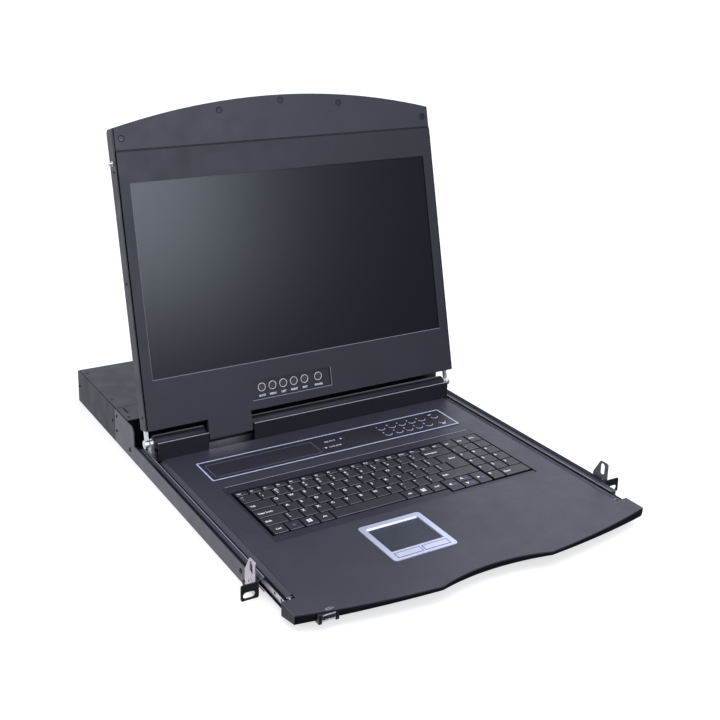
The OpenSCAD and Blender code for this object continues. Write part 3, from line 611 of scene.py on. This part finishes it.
# (node, material, width of the broken edges)
SKINS = [
    ("left_side_rail", "rail", 0.3), ("right_side_rail", "rail", 0.3),
    ("left_rack_ear", "ear", 0.3), ("right_rack_ear", "ear", 0.3),
    ("switch_case", "case", 0.3), ("switch_lid", "case", 0.3), ("front_crossplate", "case", 0.3),
    ("bottom_crossbar", "case", 0.3), ("outer_slides", "outer_slide", 0.2),
    ("computer_ports", "nickel", 0.15), ("console_ports", "nickel", 0.15),
    ("power_inlet", "plastic", 0.3), ("switch_board", "board", 0.2), ("power_supply", "board", 0.3),
    ("power_rocker", "plastic", 0.4), ("left_lever", "lever", 0.25), ("right_lever", "lever", 0.25),
    ("left_mid_slide", "mid_slide", 0.2), ("right_mid_slide", "mid_slide", 0.2),
    ("drawer_pan", "pan", 0.3), ("drawer_deck", "deck", 0.35), ("front_lip", "lip", 0.4),
    ("inner_slides", "inner_slide", 0.2), ("hinge_cover", "wall", 0.35), ("hinge_bases", "zinc", 0.25),
    ("selector_panel", "membrane", 0.12), ("selector_board", "board", 0.2),
    ("keyboard_tray", "tray", 0.25), ("touchpad_bezel", "silver", 0.4), ("touchpad_pad", "pad", 0.2),
    ("usb_socket", "nickel", 0.12), ("usb_housing", "plastic", 0.06), ("deck_screws", "zinc", 0.2),
    ("touch_left_button", "silver", 0.4), ("touch_right_button", "silver", 0.4),
    ("lcd_back_cover", "cover", 0.35), ("lcd_bezel", "screen", 0.3), ("lcd_cap", "cap", 0.5),
    ("lcd_panel", "display", 0.2), ("lcd_board", "board", 0.2), ("osd_plate", "membrane", 0.15),
    ("hinge_leaves", "zinc", 0.3), ("latch_pins", "zinc", 0.3),
]
for node, material, bevel in SKINS:
    skin(node, M[material], bevel)


# ---------------------------------------------------------------- keyboard

PITCH = 18.31
GAP = 1.6
KEY_X = -166.8
# Front edges of the rows, from the number row to the space bar, and of the number pad's rows.
ROW_Y = [73.7 + PITCH * (4 - i) for i in range(5)]
PAD_X = 114.6
PAD_Y = [67.5 + PITCH * (5 - i) for i in range(6)]
FIXED_FOOT = Z_KEY - 5.2
MOVING_FOOT = Z_KEY - 3.2
KEY_CORNER = 0.9
# Widths of the first keys of the rows, and where the keys after them start.
TAB_W, CAPS_W, SHIFT_W, TILDE_W = 32, 36.6, 28.4, 22.9
TAB_X, CAPS_X, SHIFT_X, NUM_X, SPACE_X = (KEY_X + w for w in (TAB_W, CAPS_W, SHIFT_W, TILDE_W, 74.4))
SPACE_W = 91.1
END_X = 114.1
ARROW_X, ARROW_Y = 73.5, 66.4


def row(x, y, width, depth, names):
    """Equal keys side by side: (x, y, width, depth, legend) of each."""
    return [(x + i * width, y, width, depth, name) for i, name in enumerate(names)]


FIXED_KEYS = (
    row(KEY_X, ROW_Y[0] + PITCH, 16.52, 9.4,
        ["Esc"] + [f"F{i}" for i in range(1, 13)] + ["Num", "Prt", "Scr", "Brk"])
    + row(KEY_X, ROW_Y[0], TILDE_W, PITCH, ["~|`"])
    + row(NUM_X, ROW_Y[0], PITCH, PITCH,
          ["!|1", "@|2", "#|3", "$|4", "%|5", "^|6", "&|7", "*|8", "(|9", ")|0", "_|-", "+|="])
    + row(TAB_X, ROW_Y[1], PITCH, PITCH, list("QWERTYUIOP") + ["{|[", "}|]"])
    + row(KEY_X, ROW_Y[2], CAPS_W, PITCH, ["Caps Lock"])
    + row(CAPS_X, ROW_Y[2], PITCH, PITCH, list("ASDFGHJKL") + [":|;", "\"|'", "||\\"])
    + row(SHIFT_X, ROW_Y[3], PITCH, PITCH, ["||\\"] + list("ZXCVBNM") + ["<|,", ">|.", "?|/"])
    + row(KEY_X, ROW_Y[4], 18.6, PITCH, ["Ctrl", "Fn", "menu", "Alt"])
    + row(SPACE_X + SPACE_W, ROW_Y[4], 18.35, PITCH, ["Alt", "menu", "Ctrl"])
    + [(54.5, ARROW_Y, 19, 25.6, "<-"), (94.2, ARROW_Y, 19, 25.6, "->")]
    + [key for r, names in enumerate((["Ins", "Hm", "PgU"], ["/", "*", "-"], ["7", "8", "9"], ["4", "5", "6"],
                                      ["1", "2", "3"]))
       for key in row(PAD_X, PAD_Y[r], PITCH, PITCH, names)]
    + [(PAD_X, PAD_Y[5], PITCH, PITCH, "0"), (PAD_X + PITCH, PAD_Y[5], 2 * PITCH, PITCH, "Enter")]
)
MOVING_KEYS = [
    ("key_space", SPACE_X, ROW_Y[4], SPACE_W, PITCH, ""),
    ("key_backspace", NUM_X + 12 * PITCH, ROW_Y[0], 38.2, PITCH, "Backspace"),
    ("key_left_shift", KEY_X, ROW_Y[3], SHIFT_W, PITCH, "Shift"),
    ("key_right_shift", SHIFT_X + 11 * PITCH, ROW_Y[3], 50.3, PITCH, "Shift"),
    ("key_tab", KEY_X, ROW_Y[1], TAB_W, PITCH, "Tab"),
    ("key_up", ARROW_X, 79.6, 20.7, 12.4, "^"),
    ("key_down", ARROW_X, ARROW_Y, 20.7, 13.2, "v"),
]
ARROWS = {"<-": (-1, 0), "->": (1, 0), "^": (0, 1), "v": (0, -1)}
BLUE_WORDS = {"<-": "Hm", "->": "End", "^": "PgU", "v": "PgD"}


def softened(points, r, n=4):
    """An outline with its corners, convex or not, turned into arcs of radius r."""
    rounded = []
    count = len(points)
    for i in range(count):
        a, b, c = Vector(points[i - 1]), Vector(points[i]), Vector(points[(i + 1) % count])
        u, v = (a - b).normalized(), (c - b).normalized()
        for k in range(n + 1):
            t = k / n
            rounded.append(tuple((b + u * r * (1 - t) ** 2 + v * r * t ** 2)))
    return rounded


def key_body(bm, outline, foot):
    """A low keycap: upright skirt, sloping shoulder and a flat top."""
    steps = ((0.0, foot), (0.0, Z_KEY - 1.3), (0.15, Z_KEY - 0.7), (0.42, Z_KEY - 0.2), (0.62, Z_KEY - 0.03),
             (0.72, Z_KEY), (0.8, Z_KEY))
    loft(bm, [ring(bm, inset(outline, d), z) for d, z in steps])


def key_outline(x, y, width, depth):
    """A keycap's outline: its place on the grid less half a gap on every side."""
    return rounded_rect(x + GAP / 2, y + GAP / 2, x + width - GAP / 2, y + depth - GAP / 2, KEY_CORNER, 4)


def key_stem(bm, x, y):
    """The stem under a moving key."""
    lathe(bm, at(x, y, 0), [(2, Z_KEY - 7.6), (2, Z_KEY - 3)])


def mark(bm, points, z, thick=0.04):
    """A thin printed patch."""
    loft(bm, [ring(bm, points, z), ring(bm, points, z + thick)])


# Height of the legends: the print starts just under the cap's top.
Z_LEGEND = Z_KEY - 0.01


def legend(white, blue, x, y, width, depth, name):
    """Prints a key's legend: characters in the upper left corner, a word at middle height, or a mark."""
    z = Z_LEGEND
    left, top, middle = x + GAP / 2 + 1.9, y + depth - GAP / 2 - 1.9, y + depth / 2
    if len(name) == 3 and name[1] == "|":
        letters(white, name[0], left, top - 3.2, z, 4.6, bold=0.16)
        letters(white, name[2], left + 0.3, top - 9.3, z, 4.6, bold=0.16)
    elif len(name) == 1 and name.isalnum() and depth > 15:
        letters(white, name, left, top - 4.0, z, 5.6, bold=0.2)
    elif name in ARROWS:
        cx, cy, r = x + width / 2 - 2.6, middle + 0.6, 2.3
        dx, dy = ARROWS[name]
        foot_x, foot_y = cx - dx * r * 0.7, cy - dy * r * 0.7
        mark(white, [(cx + dx * r, cy + dy * r), (foot_x - dy * r, foot_y + dx * r),
                     (foot_x + dy * r, foot_y - dx * r)], z)
        letters(blue, BLUE_WORDS[name], cx + 2.9, cy - 2.4, z, 3.0, bold=0.12)
    elif name == "menu":
        for dx, dy in ((0, 0), (3.1, 0.3), (0, 3.1), (3.1, 3.4)):
            u, v = x + width / 2 - 3.1 + dx, middle - 3.1 + dy
            mark(white, [(u, v), (u + 2.7, v), (u + 2.7, v + 2.7), (u, v + 2.7)], z)
    elif name == "Fn":
        letters(blue, name, x + width / 2, middle - 1.6, z, 4.2, align="CENTER")
    elif depth < 12:
        letters(white, name, left, middle - 1.2, z, 3.5, bold=0.14)
    elif name and y < ROW_Y[4] + 1 and width < 20:
        letters(white, name, x + width / 2, middle - 1.3, z, 4.0, align="CENTER", bold=0.15)
    elif name:
        letters(white, name, left + 0.4, middle - 1.3, z, 4.2, bold=0.15)


# The raised ledge in front of the keys and left of them, in plan.
LEDGE_LOW, LEDGE_HIGH = Z0 + 16.2, Z0 + 18.2
LEDGE = ((-172.4, 60.4, 54.0, 73.9), (54.0, 60.4, 170.4, 66.0), (-172.4, 73.9, -169.0, 177.9))


def build_keyboard():
    """All keycaps with their legends: the fixed ones as one piece, each moving one by itself."""
    caps, ink, blue = bmesh.new(), bmesh.new(), bmesh.new()
    for x, y, width, depth, name in FIXED_KEYS:
        key_body(caps, key_outline(x, y, width, depth), FIXED_FOOT)
        legend(ink, blue, x, y, width, depth, name)
    make("keycap_field", caps, M["key"], "drawer", stands_for=["keycaps"])
    make("keycap_prints", ink, M["white_ink"], "drawer")
    make("keycap_blue_prints", blue, M["blue_ink"], "drawer")
    for node, x, y, width, depth, name in MOVING_KEYS:
        body = frame["nodes"][node]["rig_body"]
        cap, ink, blue = bmesh.new(), bmesh.new(), bmesh.new()
        key_body(cap, key_outline(x, y, width, depth), MOVING_FOOT)
        key_stem(cap, x + width / 2, y + depth / 2)
        make(node + "_cap", cap, M["key"], body, stands_for=[node])
        legend(ink, blue, x, y, width, depth, name)
        for kind, bm, material in (("_print", ink, "white_ink"), ("_blue_print", blue, "blue_ink")):
            if len(bm.verts):
                make(node + kind, bm, M[material], body)
            else:
                bm.free()
    ledge = bmesh.new()
    for x0, y0, x1, y1 in LEDGE:
        bar(ledge, (x0, y0, LEDGE_LOW), (x1, y1, LEDGE_HIGH), 0.3)
    make("keyboard_ledge", ledge, M["tray"], "drawer")
    build_enter()


def build_enter():
    """The two-row enter key, notched at its front left."""
    edge = GAP / 2
    upper, lower = TAB_X + 12 * PITCH + edge, CAPS_X + 12 * PITCH + edge
    y0, y1, y2 = ROW_Y[2] + edge, ROW_Y[1] + edge, ROW_Y[1] + PITCH - edge
    outline = [(lower, y0), (END_X - edge, y0), (END_X - edge, y2), (upper, y2), (upper, y1), (lower, y1)]
    cap, ink = bmesh.new(), bmesh.new()
    key_body(cap, softened(outline, KEY_CORNER), MOVING_FOOT)
    key_stem(cap, (lower - edge + END_X) / 2, ROW_Y[1])
    make("key_enter_cap", cap, M["key"], "enter", stands_for=["key_enter"])
    letters(ink, "Enter", lower + 8, ROW_Y[1] + 4, Z_LEGEND, 4.2, bold=0.15)
    make("key_enter_print", ink, M["white_ink"], "enter")


build_keyboard()


# ---------------------------------------------------------------- selector panel prints

PANEL_LOW, PANEL_HIGH = (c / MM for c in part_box("selector_panel"))
PRINT_Z = DECK + 0.8
DOME_RISE = 0.35
DOME_X = [72.5, 88.5, 103.7, 118.6, 133.9, 153.8]
DOME_Y = [243.8, 226.8]


def build_selector():
    """Frame lines, dome outlines, words and lamps of the selector panel."""
    silver, grey, white = bmesh.new(), bmesh.new(), bmesh.new()
    low, high = PANEL_LOW, PANEL_HIGH
    frame_line = rounded_rect(low.x + 1.0, low.y + 1.0, high.x - 1.0, high.y - 1.0, 1.2)
    ribbon(silver, frame_line, 2.0, PRINT_Z, PRINT_Z + 0.06)
    ribbon(grey, rounded_rect(-167.5, 218.5, -26.5, 250, 1.0), 0.55, PRINT_Z, PRINT_Z + 0.05)
    top = PRINT_Z + DOME_RISE
    for i, x in enumerate(DOME_X):
        for j, y in enumerate(DOME_Y):
            ribbon(silver, arc(x, y - 0.6, 5.0, 190, 350, 16), 0.8, PRINT_Z, top, closed=False)
            if i < 5:
                letters(white, str((i + 5 * j + 1) % 10), x - 4.4, y + 2.6, top - 0.02, 3.6, align="CENTER")
    letters(white, "ESC", 152, 248.2, PRINT_Z, 3.6, align="CENTER", bold=0.14)
    letters(white, "SET", 154, 218.6, PRINT_Z, 3.6, align="CENTER", bold=0.14)
    letters(white, "SELECT", -11.5, 240.0, PRINT_Z, 4.2, bold=0.06, space=1.2)
    letters(white, "ONLINE", -12.5, 225.6, PRINT_Z, 4.2, bold=0.06, space=1.2)
    for x, y in ((12.2, 241.6), (-16.8, 227.2)):
        mark(white, rounded_rect(x - 1.2, y - 1.3, x + 1.2, y + 1.3, 0.4), PRINT_Z)
    make("selector_silver_print", silver, M["silver_ink"], "drawer")
    make("selector_grey_print", grey, M["grey_ink"], "drawer")
    make("selector_white_print", white, M["white_ink"], "drawer")
    lamps = bmesh.new()
    for x, y in ((16.4, 241.4), (-20.8, 227.4)):
        lathe(lamps, at(x, y, PRINT_Z), [(1.1, 0), (1.1, 0.15), (0.9, 0.28), (0.4, 0.34)], 20)
    make("selector_lamps", lamps, M["lens"], "drawer")


build_selector()


# ---------------------------------------------------------------- screws

# Places on the screen as (x, height), on the sides as (y, height, head radius) and on the lid as (x, y).
CAP_SCREWS = [(-210.5, 343.3), (-83.5, 368.8), (0.5, 376.5), (83.5, 368.8), (210.5, 343.3)]
SIDE_SCREWS = [(39.5, 11.6, 3.0), (350.8, 10.3, 3.2), (395.5, 37.3, 2.0), (411.5, 25.6, 1.8),
               (396.6, 16.9, 2.0), (545.0, 23.2, 2.0)]
LID_SCREWS = [(x, y) for x in (-214.8, 0, 214.8) for y in (432.5, 534.5)]
# The groove under the arched cap, drawn as a bar of painted shade, from its lower to its upper edge.
SEAM_LOW, SEAM_HIGH = 327.8, 330.3
RIVET = ((3.3, 0), (3.3, 0.2), (2.7, 0.4), (1.2, 0.48))


def build_screws():
    """Screw heads of the frame and the screen, with the groove and rims around those of the cap as painted
    shade.
    """
    heads = bmesh.new()
    for y, z, r in SIDE_SCREWS:
        for side, axis in SIDES:
            phillips(heads, at(side * HALF_WIDTH, y, Z0 + z, axis), r, 0.9)
    for x, y in LID_SCREWS:
        phillips(heads, at(x, y, CASE_TOP - 1.2), 2.8, 1.1, sunk=True)
    make("frame_screw_heads", heads, M["black_screw"], "rack_frame",
         stands_for=["frame_screws"])
    sunk = bmesh.new()
    for x, h in CAP_SCREWS:
        phillips(sunk, at(x, 1.2, h, "-Y"), 2.9, 1.05, sunk=True)
    make("cap_screw_heads", sunk, M["cap_screw"], "screen", SCREEN,
         stands_for=["cap_screws"])
    # Painted shade: dark rings around the cap's screws and a dark bar for the cap's groove.
    rims = bmesh.new()
    for x, h in CAP_SCREWS:
        lathe_ring(rims, at(x, LINE_BACK, h, "-Y"), 2.95, 4.3, 0.08)
    bar(rims, (-218.3, LINE_FRONT, SEAM_LOW), (218.3, LINE_BACK, SEAM_HIGH), 0.01)
    make("cap_seam_and_screw_rim_shade", rims, M["dark"], "screen", SCREEN)
    side = bmesh.new()
    for h in (15.8, 175.0, 305.5):
        for turn, axis in SIDES:
            phillips(side, at(turn * 221.0, 9.6, h, axis), 2.1, 0.7)
    make("screen_side_screws", side, M["black_screw"], "screen", SCREEN)
    rivets = bmesh.new()
    for turn in (1, -1):
        phillips(rivets, at(turn * 205.4, -32, Z0 + 14.2, "-Y"), 1.7, 0.5)
    for turn, axis in SIDES:
        lathe(rivets, at(turn * 220.6, 306, Z0 + 35, axis), RIVET, 28)
    make("hinge_and_pan_rivets", rivets, M["zinc"], "drawer")


build_screws()


# ---------------------------------------------------------------- screen buttons

OSD_X = [-65.5, -50.6, -35.5, -20.5, -5.2, 14.5]
OSD_NAMES = ["AUTO", "MENU", "LEFT", "RIGHT", "EXIT", "POWER"]
OSD_H = 26
PLATE_Y = 2.2
KNOB = ((5.4, 0), (5.4, 1.3), (4.35, 1.4), (4.35, 4.0), (4.0, 4.45), (3.4, 4.6), (2.6, 4.45))


def build_screen_buttons():
    """The six push-buttons, each on its own body, with their rings and words."""
    upright = Matrix.Rotation(math.pi / 2, 4, "X")
    prints, rings = bmesh.new(), bmesh.new()
    for i, (x, name) in enumerate(zip(OSD_X, OSD_NAMES)):
        node = f"osd_button_{i + 1}"
        body = frame["nodes"][node]["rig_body"]
        knob = bmesh.new()
        lathe(knob, at(x, 6, OSD_H, "-Y"), KNOB)
        make(node + "_knob", knob, M["button"], body, SCREEN, stands_for=[node])
        letters(prints, name, x, PLATE_Y - 0.03, 14.4, 3.3, upright, "CENTER", bold=0.16)
        lathe_ring(rings, at(x, PLATE_Y, OSD_H, "-Y"), 4.6, 5.3, 0.3)
    make("screen_button_prints", prints, M["white_ink"], "screen", SCREEN)
    make("screen_button_rings", rings, M["bright_silver"], "screen", SCREEN)


build_screen_buttons()


# ---------------------------------------------------------------- painted highlights and painted shade lines

# Painted highlight strips along the edges of the picture's and the button plate's openings, as (x0, z0, x1,
# z1) on the screen's face.
OPENING_EDGES = ((-206.1, 58.3, 206.1, 58.9), (-206.2, 58.3, -205.95, 291.5),
                 (-80.2, 11.0, 32.6, 11.7), (31.9, 11.0, 32.6, 35.0))
COVER_SPANS = ((-209.2, -143.6), (-82.4, 209.2))


def build_edges():
    """Painted highlight strips along edges, and the deck's two fold lines as painted shade."""
    on_screen, wall, rear = bmesh.new(), bmesh.new(), bmesh.new()
    for x0, z0, x1, z1 in OPENING_EDGES:
        bar(on_screen, (x0, LINE_FRONT, z0), (x1, LINE_BACK, z1), 0.02)
    make("screen_opening_highlights", on_screen, M["painted_highlight"], "screen", SCREEN)
    # Painted highlight: a light bead along the top edge of each hinge cover span.
    for x0, x1 in COVER_SPANS:
        length = x1 - x0
        bead = [(0.5, 0), (0.62, 0.2), (0.62, length - 0.2), (0.5, length)]
        lathe(wall, at(x0, 290.45, Z0 + 40.4, "X"), bead, 12)
    make("hinge_cover_highlight", wall, M["painted_highlight"], "drawer")
    # Painted highlight: a light strip along the keyboard opening's rear edge.
    bar(rear, (-169, 191.5, DECK - 0.3), (169, 192.2, DECK + 0.06), 0.03)
    make("keyboard_rear_highlight", rear, M["painted_highlight"], "drawer")
    # Painted shade: thin dark bars laid along the deck's two folds.
    folds = bmesh.new()
    for x in (-202.8, 202.3):
        bar(folds, (x, -29, DECK - 0.1), (x + 0.5, 289, DECK + 0.03), 0.01)
    make("deck_fold_painted_shade", folds, M["wall"], "drawer")
    build_slide_edges()
    build_touchpad_edges()


def build_slide_edges():
    """A painted highlight strip along the upper edge of each middle slide."""
    for body, x, y in (("left_middle_slide", -213.2, 8), ("right_middle_slide", 212.4, -18)):
        line = bmesh.new()
        bar(line, (x, y + 0.5, Z0 + 19.0), (x + 0.8, y + 319.5, Z0 + 19.26), 0.05)
        make(body + "_edge", line, M["painted_highlight"], body)


def build_touchpad_edges():
    """The slope behind the touchpad in a brighter silver than the bezel, a painted highlight, and dark bands
    around its two buttons, painted shade of the gaps.
    """
    slope, gaps = bmesh.new(), bmesh.new()
    left, right, rear = -78.8, -14.6, 37.6
    # Painted highlight: the slope is brighter than the bezel's silver.
    loft(slope, [ring(slope, [(left, front), (right, front), (right, rear), (left, rear)], z)
                 for front, z in ((36.2, DECK - 0.8), (37.5, DECK + 1.05))])
    make("touchpad_rear_wall", slope, M["bright_silver"], "drawer")
    # Painted shade: dark bands in the gaps around the buttons.
    for side in ("left", "right"):
        low, high = (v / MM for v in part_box(f"touch_{side}_button"))
        outline = rounded_rect(low.x - 0.2, low.y - 0.2, high.x + 0.2, high.y + 0.2, 0.5)
        ribbon(gaps, outline, 0.28, high.z - 0.5, high.z + 0.03)
    make("touch_button_gap_shade", gaps, M["dark"], "drawer")


build_edges()


# ---------------------------------------------------------------- front data port


def build_front_port():
    """A plain plug outline on the deck, and the two bright lips of the socket below it."""
    ink, mouth = bmesh.new(), bmesh.new()
    ribbon(ink, rounded_rect(-187.2, -68.2, -181.2, -65.2, 0.5), 0.25, DECK, DECK + 0.05)
    for x in (-186.2, -183.6):
        mark(ink, rounded_rect(x, -67.2, x + 0.9, -66.3, 0.2), DECK)
    ribbon(ink, [(-180.8, -66.7), (-178.0, -66.7)], 0.3, DECK, DECK + 0.05, closed=False)
    make("front_port_mark", ink, M["silver_ink"], "drawer")
    for low, high in ((9.75, 11.0), (15.5, 16.85)):
        bar(mouth, (-192.7, -70.95, Z0 + low), (-178.7, -70.1, Z0 + high), 0.15)
    make("front_socket_mouth", mouth, M["bright_silver"], "drawer")


build_front_port()


# ---------------------------------------------------------------- rear details

# Video sockets as (x, height): four pairs for the computers, then the console's.
VIDEO = [(-160 + 34 * i, z) for i in range(4) for z in (12, 31)] + [(0, 31)]
INSERT = [(-7.5, 3.3), (-6.3, -3.3), (6.3, -3.3), (7.5, 3.3)]
INSERT_THICK = 0.12
CONTACT_PITCH = 2.25
CONTACT = ((0.5, 0), (0.5, 0.04), (0.3, 0.05))
REAR_WORDS = (("CONSOLE", 0, 39.0), ("DATA", 45, 18.6), ("POWER", 150, 37.5), ("COMPUTERS", -109, 39.4))


def build_video_sockets():
    """The blue inserts of the video sockets and in each three rows of five dark discs, painted shade standing
    for the contact holes.
    """
    insert, holes = bmesh.new(), bmesh.new()
    outline = softened(INSERT, 0.8)
    face = RAIL_REAR + 6
    for x, z in VIDEO:
        start = len(insert.verts)
        loft(insert, [ring(insert, outline, 0), ring(insert, outline, INSERT_THICK)])
        move_new(insert, start, at(x, face, Z0 + z, "Y") @ Matrix.Rotation(math.pi, 4, "Z"))
        # Painted shade: each contact hole is a dark disc.
        for row_z, shift in ((2.0, 0.0), (0.0, 0.55), (-2.0, 0.0)):
            for i in range(-2, 3):
                place = at(x + CONTACT_PITCH * i + shift, face + INSERT_THICK, Z0 + z + row_z, "Y")
                lathe(holes, place, CONTACT, 10)
    make("video_inserts", insert, M["blue_plastic"], "rack_frame")
    make("video_contacts", holes, M["dark"], "rack_frame")


def build_rear_prints():
    """A number by each computer's socket and a word by each group."""
    prints = bmesh.new()
    upright = Matrix.Rotation(math.pi / 2, 4, "X") @ Matrix.Rotation(math.pi, 4, "Y")
    y = RAIL_REAR + 0.02
    for i, (x, z) in enumerate(VIDEO[:8]):
        letters(prints, str(i + 1), x - 17.3, y, Z0 + z - 1.4, 4.2, upright, "CENTER")
    for word, x, z in REAR_WORDS:
        letters(prints, word, x, y, Z0 + z, 3.4, upright, "CENTER")
    make("rear_prints", prints, M["white_ink"], "rack_frame")


def build_mains():
    """The three blades of the mains inlet, and the line and ring on the rocker."""
    blades, marks = bmesh.new(), bmesh.new()
    half, front, rear = 1.08, RAIL_REAR - 13, RAIL_REAR - 2.9
    for x, z in ((163, Z0 + 25), (156, Z0 + 20), (170, Z0 + 20)):
        bar(blades, (x - half, front, z - 2.08), (x + half, rear, z + 2.08), 0.2)
    make("mains_blades", blades, M["nickel"], "rack_frame")
    mark(marks, [(-0.35, -1.6), (0.35, -1.6), (0.35, 1.6), (-0.35, 1.6)], 0, 0.06)
    place = at(124, RAIL_REAR - 3, Z0 + 22) @ Matrix.Rotation(math.radians(-8), 4, "Z")
    marks.transform(place @ at(-5, 2.6, 0, "Y"))
    lathe_ring(marks, place @ at(5, 2.6, 0, "Y"), 1.2, 1.7, 0.06, 24)
    make("rocker_marks", marks, M["white_ink"], "power_switch")


build_video_sockets()
build_rear_prints()
build_mains()


# ---------------------------------------------------------------- stage, light and camera

FLOOR_SIZE = 60
FLOOR_DROP = 0.05 * MM
FLOOR_TONES = ((0.55, 0.55, 0.56), (0.57, 0.57, 0.58))
FLOOR_GLOW = 0.62
WORLD_COLOUR = (0.87, 0.9, 1.0, 1)
WORLD_DIM = 0.12
WORLD_BRIGHT = 1.35


def build_stage():
    """A pale floor that glows a little, so that it stays nearly white, and the world around it."""
    mesh = bpy.data.meshes.new("floor")
    s, z = FLOOR_SIZE / 2, GROUND - FLOOR_DROP
    mesh.from_pydata([(-s, -s, z), (s, -s, z), (s, s, z), (-s, s, z)], [], [(0, 1, 2, 3)])
    floor = bpy.data.objects.new("floor", mesh)
    scene.collection.objects.link(floor)
    g = Graph("floor_paper")
    g.link(g.mix(g.noise(3, 2), *FLOOR_TONES), "Base Color")
    g.set(Roughness=0.9, Specular_IOR_Level=0.1, Emission_Color=(1, 1, 1, 1), Emission_Strength=FLOOR_GLOW)
    mesh.materials.append(g.material)
    floor.visible_diffuse = False
    floor.visible_glossy = False
    floor.visible_shadow = False
    build_world()


def build_world():
    """A pale studio: bright above and behind the object, dim on the camera's side."""
    world = bpy.data.worlds.new("studio")
    scene.world = world
    world.use_nodes = True
    nodes, links = world.node_tree.nodes, world.node_tree.links
    direction = nodes.new("ShaderNodeTexCoord").outputs["Generated"]
    split = nodes.new("ShaderNodeSeparateXYZ")
    links.new(direction, split.inputs[0])
    tilt = nodes.new("ShaderNodeMath")
    tilt.operation = "MULTIPLY_ADD"
    links.new(split.outputs["Z"], tilt.inputs[0])
    tilt.inputs[1].default_value = 0.8
    links.new(split.outputs["Y"], tilt.inputs[2])
    spread = nodes.new("ShaderNodeMapRange")
    spread.interpolation_type = "SMOOTHSTEP"
    spread_range = {"From Min": -0.5, "From Max": 1.0, "To Min": WORLD_DIM, "To Max": WORLD_BRIGHT}
    for key, value in spread_range.items():
        spread.inputs[key].default_value = value
    links.new(tilt.outputs[0], spread.inputs["Value"])
    background = nodes["Background"]
    background.inputs["Color"].default_value = WORLD_COLOUR
    links.new(spread.outputs[0], background.inputs["Strength"])


# (name, place, aim, width and length, watts, colour); the last stands below the floor, which casts no shadow.
FRONT_AIM = (0.0, 0.33, 0.25)
LIGHTS = (
    ("front_softbox", (-0.4, -2.27, 1.25), FRONT_AIM, (1.1, 1.9), 18, (0.88, 0.91, 1.0)),
    ("display_sheen", (0.72, -2.27, 1.25), FRONT_AIM, (0.7, 1.3), 21, (0.80, 0.87, 1.0)),
    ("top_softbox", (0.3, -0.9, 2.5), (0, 0.3, 0.2), (1.8, 1.4), 17, (0.88, 0.92, 1.0)),
    ("left_bounce", (-0.95, 0.1, -0.5), (-0.22, 0.15, 0.0), (0.9, 0.5), 5, (1.0, 0.94, 1.0)),
)


def area_light(name, place, target, size, power, colour):
    """A rectangular lamp at a place, turned to face the target."""
    data = bpy.data.lights.new(name, "AREA")
    data.shape = "RECTANGLE"
    data.size, data.size_y = size
    data.energy = power
    data.color = colour
    light = bpy.data.objects.new(name, data)
    light.location = place
    light.rotation_euler = (Vector(target) - Vector(place)).to_track_quat("-Z", "Y").to_euler()
    scene.collection.objects.link(light)


# The camera solved from the photo.
CAMERA_PLACE = (-639.755 * MM, -830.034 * MM, GROUND + 604.847 * MM)
CAMERA_DEGREES = (73.807, -0.747, -29.077)
CAMERA_LENS = 55.168
CAMERA_SHIFT = (0.0733, -0.1296)


def build_camera():
    """The photo's camera."""
    data = bpy.data.cameras.new("camera")
    data.sensor_width = 36
    data.lens = CAMERA_LENS
    data.shift_x, data.shift_y = CAMERA_SHIFT
    data.clip_end = 200
    camera = bpy.data.objects.new("camera", data)
    camera.location = CAMERA_PLACE
    camera.rotation_euler = [math.radians(angle) for angle in CAMERA_DEGREES]
    scene.collection.objects.link(camera)
    scene.camera = camera


build_stage()
for light_row in LIGHTS:
    area_light(*light_row)
build_camera()
scene.view_settings.view_transform = "Standard"
